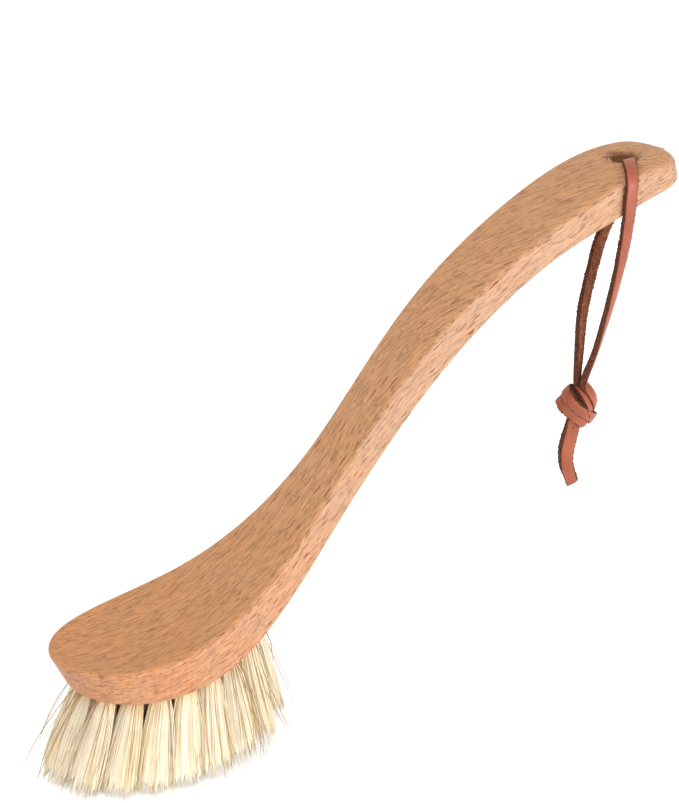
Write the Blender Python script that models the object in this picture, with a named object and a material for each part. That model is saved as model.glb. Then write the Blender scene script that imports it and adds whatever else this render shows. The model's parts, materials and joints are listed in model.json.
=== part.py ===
"""Dish brush: one bent beech body, tufts of plant fibre held by steel anchors, and a knotted leather thong.

Metres, +Z up. The brush stands on its bristle tips at z = 0, the tip of the head points to -X and the
handle rises to +X. It is symmetric about the plane y = 0, apart from the thong, which hangs on the -Y side,
and x = 0 is halfway along the body and its tufts.
"""

import math

import bmesh
import bpy
import numpy as np
from mathutils import Vector

MM = 0.001

# Base colours (linear), and the angles below which faces are shaded smooth
BEECH_COLOUR = (0.62, 0.36, 0.19)
FIBRE_COLOUR = (0.85, 0.76, 0.55)
STEEL_COLOUR = (0.6, 0.6, 0.62)
LEATHER_COLOUR = (0.33, 0.10, 0.05)
SMOOTH_ANGLE = math.radians(35)
STRAND_SMOOTH_ANGLE = math.radians(60)

# Wooden body: the middle line of its upper face, and what it carries at even steps from tip to end
BODY_ARC = 256.2 * MM
SLOPES_DEG = (-2.8, 6.5, 22.9, 39.5, 49.5, 50.8, 44.9, 34.8, 27, 14.6, -15.1)
HALF_WIDTHS_MM = (28.3, 24.5, 20, 15, 11, 10.2, 11.3, 12.7, 13.7, 13.5, 9.9)
THICKNESSES_MM = (13.5, 13.6, 12.9, 10.7, 10.6, 11.4, 11.3, 10.3, 9.8, 10.8, 7.7)
TIP_ROUND = 47.1 * MM
END_ROUND = 11.5 * MM
TIP_LEAN = math.radians(26)
END_LEAN = math.radians(12)
TOP_EDGE_RADIUS = 2.6 * MM
LOWER_EDGE_RADIUS = 2.0 * MM
HANDLE_CROWN = 0.7 * MM
HEAD_SCOOP = 1.0 * MM
SCOOP_END = 0.36
STATIONS = 44
TIP_STATIONS = 9
END_STATIONS = 7
EDGE_STEPS = 3
FACE_COLUMNS = 4

# Hanging hole, drilled upright near the end of the handle
HOLE_ARC = 239.6 * MM
HOLE_RADIUS = 4.2 * MM
COUNTERSINK_RADIUS = 6.0 * MM
COUNTERSINK_DEPTH = 1.5 * MM
HOLE_SIDES = 24

# Tuft field on the underside of the head
FIELD_CENTRE_X = 38 * MM
OUTER_RING = (26 * MM, 16 * MM)
INNER_RING = (16.5 * MM, 6.2 * MM)
OUTER_TUFTS = 17
INNER_TUFTS = 9
FRONT_TILT = math.radians(23)
REAR_TILT = math.radians(12)
SIDE_TILT = math.radians(9)

# One tuft: a bundle folded over its anchor in a blind hole, and the strands that stand out of it
TUFT_HOLE_RADIUS = 2.5 * MM
TUFT_HOLE_DEPTH = 8.0 * MM
TUFT_HOLE_SIDES = 12
CLEARANCE = 0.3 * MM
BUNDLE_SIDES = 10
BUNDLE_CORE_SHARE = 0.52
STRAND_GAP = 0.2 * MM
STRAND_LENGTH = 31.5 * MM
REAR_EXTRA_LENGTH = 4.0 * MM
STRAND_UNEVENNESS = 0.9 * MM
TUFT_FLARE = 2.15
STRAND_TAPER = 0.92
UNEVEN_STEPS = (13.0, 78.2)
FLAT_CUT = 0.5 * MM
FOLD_THICKNESS = 1.3 * MM

# Anchor: a flat steel plate across each hole, which the bundle is folded over
ANCHOR_THICKNESS = 0.4 * MM
ANCHOR_HEIGHT = 1.6 * MM

# Leather thong: one flat lace through the hole, tied in an overhand knot with two loose ends
LACE_WIDTH = 4.0 * MM
LACE_THICKNESS = 2.0 * MM
LACE_CHAMFER = 0.4 * MM
LACE_STEP = 2.2 * MM
FRONT_TWIST = math.radians(60)
BACK_TWIST = math.radians(50)
FRONT_TWIST_POWER = 1
BACK_TWIST_POWER = 2
LACE_NOSE_DEG = (20, 45, 70, 90)
KNOT_HALF_SIZE = (5.0 * MM, 4.5 * MM, 8.0 * MM)
KNOT_TURN_RADIUS = 4.5 * MM
KNOT_TURN_THICKNESS = 2.2 * MM
KNOT_TURN_TILT = math.radians(32)
KNOT_TURN_RISE = 1.6 * MM
KNOT_TURN_FLATNESS = 0.85
KNOT_TURN_STEPS = 20
KNOT_TURN_SIDES = 8
KNOT_SEGMENTS = (16, 10)

# Where the thong lies, in millimetres from the middle of the hanging hole's upper mouth
SWING_FRONT_MM = (-7.8, -14.7, -13.9)
SWING_BACK_MM = (-3.5, -2.1, -13.4)
BIGHT_ROUTE_MM = (
    (-7.5, -14.7, -11.3), (-7.3, -14.7, -8.6), (-7, -14.6, -4.9), (-6.5, -14.1, -1.8), (-5.5, -12.3, 0.4),
    (-4.2, -9.3, 1.6), (-2.8, -6.6, 2), (-1.3, -4.5, 1.7), (-0.2, -2.8, 0.3), (0.2, -2.1, -2.5),
    (0.1, -2, -5.6), (-0.7, -2.1, -8.2), (-2, -2.1, -10.7),
)
FRONT_ROUTE_MM = (
    (-7.6, -14.7, -11.9), SWING_FRONT_MM, (-8.6, -13.6, -24.1), (-10.3, -12, -37.1), (-13, -10.2, -51.1),
    (-16, -8.7, -62.6), (-17.9, -8.3, -68.1),
)
BACK_ROUTE_MM = (
    (-2.6, -2.1, -11.6), SWING_BACK_MM, (-7.7, -2.4, -20.1), (-13, -3.4, -33.7), (-16.6, -4.5, -45.9),
    (-18.1, -5.4, -58.4), (-18.8, -5.8, -68.1),
)
KNOT_CENTRE_MM = (-19.6, -7, -76.7)
FRONT_TAIL_MM = (
    (-22.1, -8.3, -85.5), (-23.3, -8.5, -89.7), (-23.7, -8.6, -94.1), (-22.9, -8.6, -98.7), (-21.5, -8.5, -102.5),
)
BACK_TAIL_MM = (
    (-20.9, -5.7, -85.3), (-22.3, -5.6, -89.7), (-22.7, -5.5, -94.1), (-22.1, -5.4, -97.5), (-21.3, -5.3, -99.9),
)


def clear_scene():
    for obj in list(bpy.data.objects):
        bpy.data.objects.remove(obj, do_unlink=True)


def material(name, colour, roughness, metallic=0.0):
    made = bpy.data.materials.new(name)
    made.use_nodes = True
    shader = made.node_tree.nodes["Principled BSDF"]
    shader.inputs["Base Color"].default_value = (*colour, 1.0)
    shader.inputs["Roughness"].default_value = roughness
    shader.inputs["Metallic"].default_value = metallic
    return made


def mesh_object(name, mesh, finish=None, smooth_angle=SMOOTH_ANGLE):
    """A new object with this bmesh, its normals facing out and its round faces shaded smooth."""
    mesh.normal_update()
    bmesh.ops.recalc_face_normals(mesh, faces=mesh.faces)
    data = bpy.data.meshes.new(name)
    mesh.to_mesh(data)
    mesh.free()
    data.shade_smooth()
    data.set_sharp_from_angle(angle=smooth_angle)
    if finish:
        data.materials.append(finish)
    obj = bpy.data.objects.new(name, data)
    bpy.context.collection.objects.link(obj)
    return obj


def subtract(obj, cutter, name):
    """Cuts the hidden cutter out of the object."""
    cutter.hide_render = True
    cutter.display_type = "WIRE"
    cut = obj.modifiers.new(name, "BOOLEAN")
    cut.operation = "DIFFERENCE"
    cut.object = cutter


def smooth(places, values, wanted):
    """Natural cubic spline through the values, one column for each coordinate."""
    places = np.asarray(places, float)
    values = np.asarray(values, float).reshape(len(places), -1)
    count = len(places)
    step = np.diff(places)
    rows = np.eye(count)
    right = np.zeros_like(values)
    for i in range(1, count - 1):
        rows[i, i - 1:i + 2] = step[i - 1], 2 * (step[i - 1] + step[i]), step[i]
        right[i] = 6 * ((values[i + 1] - values[i]) / step[i] - (values[i] - values[i - 1]) / step[i - 1])
    bend = np.linalg.solve(rows, right)
    wanted = np.atleast_1d(np.asarray(wanted, float))
    i = np.clip(np.searchsorted(places, wanted) - 1, 0, count - 2)
    span = step[i][:, None]
    ahead = (places[i + 1] - wanted)[:, None] / span
    behind = 1 - ahead
    curve = ahead * values[i] + behind * values[i + 1]
    curve += ((ahead ** 3 - ahead) * bend[i] + (behind ** 3 - behind) * bend[i + 1]) * span ** 2 / 6
    return curve


def along_body(values, arc):
    """A quantity given at even steps of the body, read at one or more arc lengths."""
    places = np.linspace(0, BODY_ARC, len(values))
    return smooth(places, values, np.clip(arc, 0, BODY_ARC))[:, 0]


def spine_table(steps=400):
    """Arc lengths, and the x and z of the upper face's middle line at each, from the slopes."""
    arc = np.linspace(0, BODY_ARC, steps)
    slope = np.radians(along_body(SLOPES_DEG, arc))
    middle = (slope[1:] + slope[:-1]) / 2
    run = np.diff(arc)
    x = np.concatenate([[0], np.cumsum(np.cos(middle) * run)])
    z = np.concatenate([[0], np.cumsum(np.sin(middle) * run)])
    return arc, x, z


SPINE = spine_table()


def lean(arc):
    return TIP_LEAN + (END_LEAN - TIP_LEAN) * np.clip(arc / BODY_ARC, 0, 1)


def thickness(arc):
    return along_body(THICKNESSES_MM, arc) * MM


def half_width(arc):
    """Half of the plan width, which closes to nothing in a round at each end."""
    full = along_body(HALF_WIDTHS_MM, arc) * MM
    for near_end, rounding in ((arc, TIP_ROUND), (BODY_ARC - arc, END_ROUND)):
        share = np.clip(1 - near_end / rounding, 0, 1)
        full = full * np.sqrt(1 - share ** 2)
    return full


def body_point(arc, y, depth):
    """World place of a point of the body: along it, across it, and down from the upper face's line."""
    x = np.interp(arc, SPINE[0], SPINE[1])
    z = np.interp(arc, SPINE[0], SPINE[2])
    tilt = lean(arc)
    return Vector((x + depth * math.sin(tilt), y, z - depth * math.cos(tilt)))


def body_arcs():
    """Arc lengths of the sections, closer where the plan is round."""
    tip = TIP_ROUND * (1 - np.cos(np.linspace(0, math.pi / 2, TIP_STATIONS + 1)))
    end = BODY_ARC - END_ROUND * (1 - np.cos(np.linspace(math.pi / 2, 0, END_STATIONS + 1)))
    between = STATIONS - TIP_STATIONS - END_STATIONS
    middle = np.linspace(tip[-1], end[0], between + 2)[1:-1]
    return np.concatenate([tip, middle, end])


def plan_loop(arcs):
    """Plan outline, as (arc, y) points from the tip along +Y to the end and back, and its outward normals."""
    widths = half_width(arcs)
    widths[[0, -1]] = 0
    far = list(zip(arcs, widths))
    near = [(arc, -width) for arc, width in far[-2:0:-1]]
    points = np.array(far + near)
    ahead, behind = np.roll(points, -1, axis=0), np.roll(points, 1, axis=0)
    run = ahead - behind
    normals = np.stack([-run[:, 1], run[:, 0]], axis=1)
    return points, normals / np.linalg.norm(normals, axis=1)[:, None]


def face_swell(arc, across):
    """Height of the upper face over its middle line: the head is scooped and the handle is crowned."""
    share = min(max(arc / (SCOOP_END * BODY_ARC), 0), 1)
    blend = share * share * (3 - 2 * share)
    return -(1 - blend) * HEAD_SCOOP * (1 - across ** 2) + blend * HANDLE_CROWN * (1 - across ** 2)


def ring_of(mesh, points, normals, inset, depth_of):
    """One closed ring of vertices, set in from the plan outline and down from the upper face."""
    ring = []
    for (arc, y), (out_arc, out_y) in zip(points, normals):
        place = arc - out_arc * inset
        ring.append(mesh.verts.new(body_point(place, y - out_y * inset, depth_of(place))))
    return ring


def bridge(mesh, first, second):
    for i in range(len(first)):
        j = (i + 1) % len(first)
        mesh.faces.new((first[i], first[j], second[j], second[i]))


def close_face(mesh, ring, arcs_inset, depth_of):
    """Fills a ring with rows of quads from its far side to its near side."""
    count = len(ring)
    half = count // 2
    rows = []
    for i in range(1, half):
        far, near = ring[i], ring[count - i]
        arc = arcs_inset[i]
        row = [far]
        for column in range(1, FACE_COLUMNS):
            across = 1 - 2 * column / FACE_COLUMNS
            y = far.co.y * across
            row.append(mesh.verts.new(body_point(arc, y, depth_of(arc, across))))
        rows.append(row + [near])
    for tip, row in ((ring[0], rows[0]), (ring[half], rows[-1])):
        for a, b in zip(row, row[1:]):
            mesh.faces.new((tip, a, b))
    for row, following in zip(rows, rows[1:]):
        for i in range(FACE_COLUMNS):
            mesh.faces.new((row[i], row[i + 1], following[i + 1], following[i]))


def make_body(finish):
    """The beech body: plan outline and bent side profile together, with both edges rounded over."""
    mesh = bmesh.new()
    arcs = body_arcs()
    points, normals = plan_loop(arcs)
    rings = []
    for step in range(EDGE_STEPS + 1):
        turn = step / EDGE_STEPS * math.pi / 2
        inset = TOP_EDGE_RADIUS * (1 - math.sin(turn))
        drop = TOP_EDGE_RADIUS * (1 - math.cos(turn))
        rings.append(ring_of(mesh, points, normals, inset, lambda arc, drop=drop: drop))
    for step in range(EDGE_STEPS + 1):
        turn = step / EDGE_STEPS * math.pi / 2
        inset = LOWER_EDGE_RADIUS * (1 - math.cos(turn))
        rise = LOWER_EDGE_RADIUS * (1 - math.sin(turn))
        rings.append(
            ring_of(mesh, points, normals, inset, lambda arc, rise=rise: thickness(arc)[0] - rise)
        )
    for first, second in zip(rings, rings[1:]):
        bridge(mesh, first, second)
    upper_arcs = points[:, 0] - normals[:, 0] * TOP_EDGE_RADIUS
    lower_arcs = points[:, 0] - normals[:, 0] * LOWER_EDGE_RADIUS
    close_face(mesh, rings[0], upper_arcs, lambda arc, across: -face_swell(arc, across))
    close_face(mesh, rings[-1], lower_arcs, lambda arc, across: thickness(arc)[0])
    return mesh_object("beech_body", mesh, finish)


def turned_cutter(name, centre, profile, sides):
    """A closed turned solid on an upright axis, from (radius, z) pairs listed from the top down."""
    mesh = bmesh.new()
    rings = []
    for radius, z in profile:
        ring = []
        for i in range(sides):
            turn = 2 * math.pi * i / sides
            offset = Vector((radius * math.cos(turn), radius * math.sin(turn), z))
            ring.append(mesh.verts.new(centre + offset))
        rings.append(ring)
    for first, second in zip(rings, rings[1:]):
        bridge(mesh, first, second)
    mesh.faces.new(rings[0])
    mesh.faces.new(rings[-1])
    return mesh_object(name, mesh)


def cut_hanging_hole(body):
    """Bore through the handle, opened out at both faces so that no edge chafes the lace."""
    top = body_point(HOLE_ARC, 0, 0)
    top.z += HANDLE_CROWN
    foot = body_point(HOLE_ARC, 0, thickness(HOLE_ARC)[0])
    depth = top.z - foot.z
    reach = 2 * COUNTERSINK_DEPTH
    wide = COUNTERSINK_RADIUS + (COUNTERSINK_RADIUS - HOLE_RADIUS) * reach / COUNTERSINK_DEPTH
    profile = (
        (wide, reach),
        (HOLE_RADIUS, -COUNTERSINK_DEPTH),
        (HOLE_RADIUS, COUNTERSINK_DEPTH - depth),
        (wide, -depth - reach),
    )
    cutter = turned_cutter("hanging_hole_cutter", top, profile, HOLE_SIDES)
    subtract(body, cutter, "hanging_hole")


def underside_table():
    arc = SPINE[0]
    rows = [body_point(place, 0, deep) for place, deep in zip(arc, thickness(arc))]
    return np.array([row.x for row in rows]), np.array([row.z for row in rows])


def ring_places(half_length, half_breadth, count):
    """Points at even steps round an oval, the first at its front, the rest in mirrored pairs."""
    turn = np.linspace(math.pi, 3 * math.pi, 2001)
    x, y = half_length * np.cos(turn), half_breadth * np.sin(turn)
    length = np.concatenate([[0], np.cumsum(np.hypot(np.diff(x), np.diff(y)))])
    wanted = np.arange(count) * length[-1] / count
    return list(zip(np.interp(wanted, length, x), np.interp(wanted, length, y)))


def tuft_axes():
    """(mouth, outward direction, strand length) of each tuft: they fan out from the middle of the field."""
    xs, zs = underside_table()
    axes = []
    for ring, count in ((OUTER_RING, OUTER_TUFTS), (INNER_RING, INNER_TUFTS)):
        for x, y in ring_places(*ring, count):
            place = FIELD_CENTRE_X + x
            along = x / OUTER_RING[0]
            fore_aft = -FRONT_TILT + (FRONT_TILT + REAR_TILT) * (along + 1) / 2
            sideways = SIDE_TILT * y / OUTER_RING[1]
            direction = Vector((math.tan(fore_aft), math.tan(sideways), -1)).normalized()
            length = STRAND_LENGTH + REAR_EXTRA_LENGTH * max(along, 0) ** 2
            axes.append((Vector((place, y, np.interp(place, xs, zs))), direction, length))
    return axes


def frame_round(direction):
    """Two unit vectors square to the direction and to each other, the first lying across the head."""
    across = Vector((0, 1, 0))
    across = (across - direction * across.dot(direction)).normalized()
    return across, direction.cross(across)


def cut_tuft_holes(body, axes):
    """All blind holes in one cutter, each drilled along its own tuft."""
    mesh = bmesh.new()
    for mouth, direction, _ in axes:
        across, along = frame_round(direction)
        rings = []
        for reach in (-TUFT_HOLE_DEPTH, TUFT_HOLE_DEPTH):
            centre = mouth + direction * reach
            ring = []
            for i in range(TUFT_HOLE_SIDES):
                turn = 2 * math.pi * (i + 0.5) / TUFT_HOLE_SIDES
                offset = across * math.cos(turn) + along * math.sin(turn)
                ring.append(mesh.verts.new(centre + offset * TUFT_HOLE_RADIUS))
            rings.append(ring)
        bridge(mesh, *rings)
        mesh.faces.new(rings[0])
        mesh.faces.new(rings[1])
    cutter = mesh_object("tuft_hole_cutter", mesh)
    subtract(body, cutter, "tuft_holes")


def bundle_radius():
    return TUFT_HOLE_RADIUS * math.cos(math.pi / TUFT_HOLE_SIDES) - CLEARANCE


def bundle_ring(mesh, centre, across, along, radius):
    ring = []
    for i in range(BUNDLE_SIDES):
        turn = 2 * math.pi * (i + 0.5) / BUNDLE_SIDES
        ring.append(mesh.verts.new(centre + (across * math.cos(turn) + along * math.sin(turn)) * radius))
    return ring


def open_anchor_slot(mesh, sides, root, direction):
    """Opens the slot for the anchor across the bundle, between two opposite side faces."""
    bmesh.ops.inset_individual(mesh, faces=sides, thickness=CLEARANCE / 2)
    low = FOLD_THICKNESS
    high = low + ANCHOR_HEIGHT + 2 * CLEARANCE
    half = ANCHOR_THICKNESS / 2 + CLEARANCE
    for face in sides:
        middle = face.calc_center_median()
        for vert in face.verts:
            wanted = low if (vert.co - middle).dot(direction) < 0 else high
            beside = vert.co - middle
            beside -= direction * beside.dot(direction)
            axial = (vert.co - root).dot(direction)
            square = beside.normalized() * half
            vert.co = middle + direction * ((vert.co - middle).dot(direction) + wanted - axial) + square
    loops = [edge for face in sides for edge in face.edges]
    bmesh.ops.delete(mesh, geom=sides, context="FACES_ONLY")
    bmesh.ops.bridge_loops(mesh, edges=loops)


def strand_cells(mesh, mouth_ring, core_ring, centre):
    """Divides the bundle's mouth into one cell for each strand: five in the core and ten round it."""
    cells = []
    for i in range(BUNDLE_SIDES):
        j = (i + 1) % BUNDLE_SIDES
        cells.append(mesh.faces.new((mouth_ring[i], mouth_ring[j], core_ring[j], core_ring[i])))
    for i in range(0, BUNDLE_SIDES, 2):
        j, k = (i + 1) % BUNDLE_SIDES, (i + 2) % BUNDLE_SIDES
        cells.append(mesh.faces.new((centre, core_ring[i], core_ring[j], core_ring[k])))
    return cells


def grow_strands(mesh, cells, axis, ground, tuft_number):
    """Extrudes each cell into one straight strand that fans out from the tuft's axis."""
    mouth, direction, length = axis
    bmesh.ops.inset_individual(mesh, faces=cells, thickness=STRAND_GAP / 2)
    tips = bmesh.ops.extrude_discrete_faces(mesh, faces=cells)["faces"]
    for number, tip in enumerate(tips):
        middle = tip.calc_center_median()
        by_strand, by_tuft = UNEVEN_STEPS
        wobble = math.sin(by_strand * (number + 1) + by_tuft * (tuft_number + 1)) * STRAND_UNEVENNESS
        offset = middle - mouth
        spread = offset * TUFT_FLARE
        reach = direction * (length + wobble)
        end = mouth + spread + reach
        run = end - middle
        level = max(end.z, ground)
        end = middle + run * ((level - middle.z) / run.z)
        for vert in tip.verts:
            corner = end + (vert.co - middle) * STRAND_TAPER
            vert.co = corner + run * ((level - corner.z) / run.z)


def make_tuft(number, axis, ground, finish):
    """One bundle with its slot for the anchor, and the strands fused to it."""
    mouth, direction, _ = axis
    mesh = bmesh.new()
    across, along = frame_round(direction)
    radius = bundle_radius()
    root = mouth - direction * (TUFT_HOLE_DEPTH - CLEARANCE)
    root_ring = bundle_ring(mesh, root, across, along, radius)
    mouth_ring = bundle_ring(mesh, mouth, across, along, radius)
    core_ring = bundle_ring(mesh, mouth, across, along, radius * BUNDLE_CORE_SHARE)
    centre = mesh.verts.new(mouth)
    mesh.faces.new(root_ring)
    bridge(mesh, root_ring, mouth_ring)
    cells = strand_cells(mesh, mouth_ring, core_ring, centre)
    mesh.faces.ensure_lookup_table()
    bmesh.ops.recalc_face_normals(mesh, faces=mesh.faces)
    sides = mesh.faces[1:1 + BUNDLE_SIDES]
    opposite = (BUNDLE_SIDES - 1, BUNDLE_SIDES // 2 - 1)
    open_anchor_slot(mesh, [sides[i] for i in opposite], root, direction)
    grow_strands(mesh, cells, axis, ground, number)
    return mesh_object(f"tuft_{number:02d}", mesh, finish, STRAND_SMOOTH_ANGLE)


def make_anchor(number, axis, finish):
    """The plate across one hole, standing in the bundle's slot and reaching the hole's wall both ways."""
    mouth, direction, _ = axis
    across, along = frame_round(direction)
    root = mouth - direction * (TUFT_HOLE_DEPTH - CLEARANCE)
    centre = root + direction * (FOLD_THICKNESS + CLEARANCE + ANCHOR_HEIGHT / 2)
    reach = TUFT_HOLE_RADIUS * math.cos(math.pi / TUFT_HOLE_SIDES) - CLEARANCE
    mesh = bmesh.new()
    bmesh.ops.create_cube(mesh, size=1)
    for vert in mesh.verts:
        a, b, c = vert.co
        vert.co = (
            centre + across * (a * 2 * reach) + along * (b * ANCHOR_THICKNESS) + direction * (c * ANCHOR_HEIGHT)
        )
    return mesh_object(f"anchor_{number:02d}", mesh, finish)


def from_hole(place):
    """World places, in metres, of points listed from the hanging hole's upper mouth."""
    return np.array(body_point(HOLE_ARC, 0, 0)) + np.array(place) * MM


def lace_path(route):
    """Even points on the smooth curve through a listed route."""
    route = from_hole(route)
    places = np.concatenate([[0], np.cumsum(np.linalg.norm(np.diff(route, axis=0), axis=1))])
    count = max(int(round(places[-1] / LACE_STEP)), 2) + 1
    return smooth(places, route, np.linspace(0, places[-1], count))


def make_lace(name, route, finish, round_start=False, twist=0, twist_power=1):
    """A flat strip swept along the route, its width along +X turned towards +Y by the twist."""
    path = lace_path(route)
    half = LACE_WIDTH / 2
    stations = [(point, half) for point in path]
    if round_start:
        outward = (path[0] - path[1]) / np.linalg.norm(path[0] - path[1])
        swing = from_hole(route[1])
        kept = [item for item in stations if np.dot(item[0] - swing, outward) < 0]
        nose = []
        for turn in np.radians(LACE_NOSE_DEG):
            nose.append((swing + outward * half * math.cos(turn), half * math.sin(turn)))
        stations = nose + kept
    mesh = bmesh.new()
    rings = []
    points = np.array([item[0] for item in stations])
    for i, (point, side) in enumerate(stations):
        tangent = points[min(i + 1, len(points) - 1)] - points[max(i - 1, 0)]
        tangent = Vector(tangent).normalized()
        share = i / (len(stations) - 1)
        turn = twist * share ** twist_power
        towards = Vector((math.cos(turn), math.sin(turn), 0))
        width = (towards - tangent * tangent.dot(towards)).normalized()
        depth = tangent.cross(width)
        thick = LACE_THICKNESS / 2
        cut = min(LACE_CHAMFER, side / 2)
        corners = (
            (side, thick - cut), (side - cut, thick), (cut - side, thick), (-side, thick - cut),
            (-side, cut - thick), (cut - side, -thick), (side - cut, -thick), (side, cut - thick),
        )
        rings.append([mesh.verts.new(Vector(point) + width * a + depth * b) for a, b in corners])
    for first, second in zip(rings, rings[1:]):
        bridge(mesh, first, second)
    mesh.faces.new(rings[0])
    mesh.faces.new(rings[-1])
    return mesh_object(name, mesh, finish)


def make_knot(finish):
    """The drawn-up knot: a rounded core with one turn of the lace lying slantwise round it."""
    centre = Vector(from_hole(KNOT_CENTRE_MM))
    around, along = KNOT_SEGMENTS
    core = bmesh.new()
    bmesh.ops.create_uvsphere(core, u_segments=around, v_segments=along, radius=1)
    for vert in core.verts:
        vert.co = centre + Vector([a * b for a, b in zip(vert.co, KNOT_HALF_SIZE)])
    knot = mesh_object("thong_knot", core, finish)
    turn = bmesh.new()
    rings = []
    for i in range(KNOT_TURN_STEPS):
        round_angle = 2 * math.pi * i / KNOT_TURN_STEPS
        out = Vector((math.cos(round_angle), math.sin(round_angle), 0))
        ring = []
        for j in range(KNOT_TURN_SIDES):
            angle = 2 * math.pi * j / KNOT_TURN_SIDES
            flat = out * (KNOT_TURN_RADIUS + KNOT_TURN_THICKNESS * math.cos(angle))
            point = flat + Vector((0, 0, KNOT_TURN_THICKNESS * math.sin(angle)))
            spun = Vector((
                point.x * math.cos(KNOT_TURN_TILT) + point.z * math.sin(KNOT_TURN_TILT),
                point.y * KNOT_TURN_FLATNESS,
                point.z * math.cos(KNOT_TURN_TILT) - point.x * math.sin(KNOT_TURN_TILT) + KNOT_TURN_RISE,
            ))
            ring.append(turn.verts.new(centre + spun))
        rings.append(ring)
    for i in range(KNOT_TURN_STEPS):
        bridge(turn, rings[i], rings[(i + 1) % KNOT_TURN_STEPS])
    band = mesh_object("knot_turn", turn)
    band.hide_render = True
    band.display_type = "WIRE"
    join = knot.modifiers.new("turn", "BOOLEAN")
    join.operation = "UNION"
    join.object = band
    return knot, band


def make_thong(finish):
    """Root side: the bight through the hole. Swinging side: both strands, the knot and the loose ends."""
    bight = [make_lace("thong_bight", BIGHT_ROUTE_MM, finish)]
    swinging = [
        make_lace("thong_front_strand", FRONT_ROUTE_MM, finish, True, FRONT_TWIST, FRONT_TWIST_POWER),
        make_lace("thong_back_strand", BACK_ROUTE_MM, finish, True, BACK_TWIST, BACK_TWIST_POWER),
        *make_knot(finish),
        make_lace("thong_front_tail", FRONT_TAIL_MM, finish),
        make_lace("thong_back_tail", BACK_TAIL_MM, finish),
    ]
    return bight, swinging


def empty(name, place):
    made = bpy.data.objects.new(name, None)
    made.location = place
    bpy.context.collection.objects.link(made)
    return made


def parent_all(objects, holder):
    bpy.context.view_layer.update()
    for obj in objects:
        obj.parent = holder
        obj.matrix_parent_inverse = holder.matrix_world.inverted()


def lowest_tip(axes):
    """Height that the deepest strand would reach if it weren't cut."""
    return min((mouth + direction * length).z for mouth, direction, length in axes)


def middle_x(objects):
    """Halfway between the ends of these objects along X."""
    reach = [vert.co.x for obj in objects for vert in obj.data.vertices]
    return (min(reach) + max(reach)) / 2


def main():
    clear_scene()
    beech = material("beech", BEECH_COLOUR, 0.55)
    fibre = material("plant_fibre", FIBRE_COLOUR, 0.7)
    steel = material("anchor_steel", STEEL_COLOUR, 0.35, 1.0)
    leather = material("leather", LEATHER_COLOUR, 0.5)

    body = make_body(beech)
    cut_hanging_hole(body)
    axes = tuft_axes()
    cut_tuft_holes(body, axes)
    ground = lowest_tip(axes) + FLAT_CUT
    tufts = []
    anchors = []
    for number, axis in enumerate(axes, start=1):
        tufts.append(make_tuft(number, axis, ground, fibre))
        anchors.append(make_anchor(number, axis, steel))
    bight, swinging = make_thong(leather)

    pivot = empty("thong_pivot", (from_hole(SWING_FRONT_MM) + from_hole(SWING_BACK_MM)) / 2)
    brush = empty("brush", (middle_x([body] + tufts), 0, ground))
    parent_all(swinging, pivot)
    helpers = [obj for obj in bpy.data.objects if obj.name.endswith("_cutter")]
    parent_all([body, pivot] + tufts + anchors + bight + helpers, brush)
    brush.location = (0, 0, 0)


main()
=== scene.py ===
"""Dish brush of beech, plant fibre and leather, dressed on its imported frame.

Metres, +Z up. The brush stands on its bristle tips at z = 0, the tip of its head points to -X, its handle
rises to +X and its thong hangs on the -Y side. The shapes follow the same named sizes as the solids that
they stand for, with more stations, finer edges and single fibres.
"""

import json
import math
from functools import partial

import bpy
import numpy as np
from bpy.props import FloatProperty, FloatVectorProperty, IntProperty, PointerProperty
from mathutils import Matrix, Vector
from mathutils.kdtree import KDTree


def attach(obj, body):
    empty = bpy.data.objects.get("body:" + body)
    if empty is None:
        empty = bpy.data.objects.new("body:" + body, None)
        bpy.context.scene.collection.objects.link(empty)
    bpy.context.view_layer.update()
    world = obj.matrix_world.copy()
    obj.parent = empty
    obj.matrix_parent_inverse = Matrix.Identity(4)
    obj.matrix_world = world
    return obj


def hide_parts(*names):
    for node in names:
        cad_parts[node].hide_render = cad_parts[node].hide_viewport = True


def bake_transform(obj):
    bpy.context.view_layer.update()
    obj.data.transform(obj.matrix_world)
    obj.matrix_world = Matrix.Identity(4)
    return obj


bl_info = {
    "name": "Dish brush",
    "version": (1, 0, 0),
    "blender": (4, 5, 0),
    "location": "View3D > Sidebar > Dish brush",
    "description": "Builds a beech dish brush with tufts of plant fibre and a knotted leather thong",
    "category": "Object",
}

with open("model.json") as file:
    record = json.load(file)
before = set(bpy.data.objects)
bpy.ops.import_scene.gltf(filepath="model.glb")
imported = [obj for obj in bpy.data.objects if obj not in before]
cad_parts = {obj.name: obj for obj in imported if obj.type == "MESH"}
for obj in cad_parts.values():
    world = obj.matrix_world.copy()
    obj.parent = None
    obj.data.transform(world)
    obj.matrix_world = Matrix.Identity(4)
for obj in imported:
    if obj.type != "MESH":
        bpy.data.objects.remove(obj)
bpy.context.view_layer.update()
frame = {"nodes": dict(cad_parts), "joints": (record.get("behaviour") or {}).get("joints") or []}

MM = 0.001

# Camera: it looks down at the brush from its near left side
AZIMUTH = math.radians(-30)
ELEVATION = math.radians(27)
DISTANCE = 1100 * MM
NEAREST = 50 * MM
SENSOR_MM = 36.0
LENS_MM = 163.63
SHIFT = (-0.0621, -0.0155)
LOOK_AT_FROM_TIP = (115 * MM, 0, 60 * MM)

# Stage, in metres: where each lamp stands, how wide and high it is, and how far the floor reaches
KEY_LAMP = ((0.45, -1.15, 0.2), (0.9, 0.36))
FILL_LAMP = ((-0.8, -0.9, 0.2), (0.9, 0.36))
TOP_LAMP = ((-0.45, 0.05, 1.2), (1, 1))
FLOOR_REACH = 6.0
WHITE = (1, 1, 1, 1)

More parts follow.
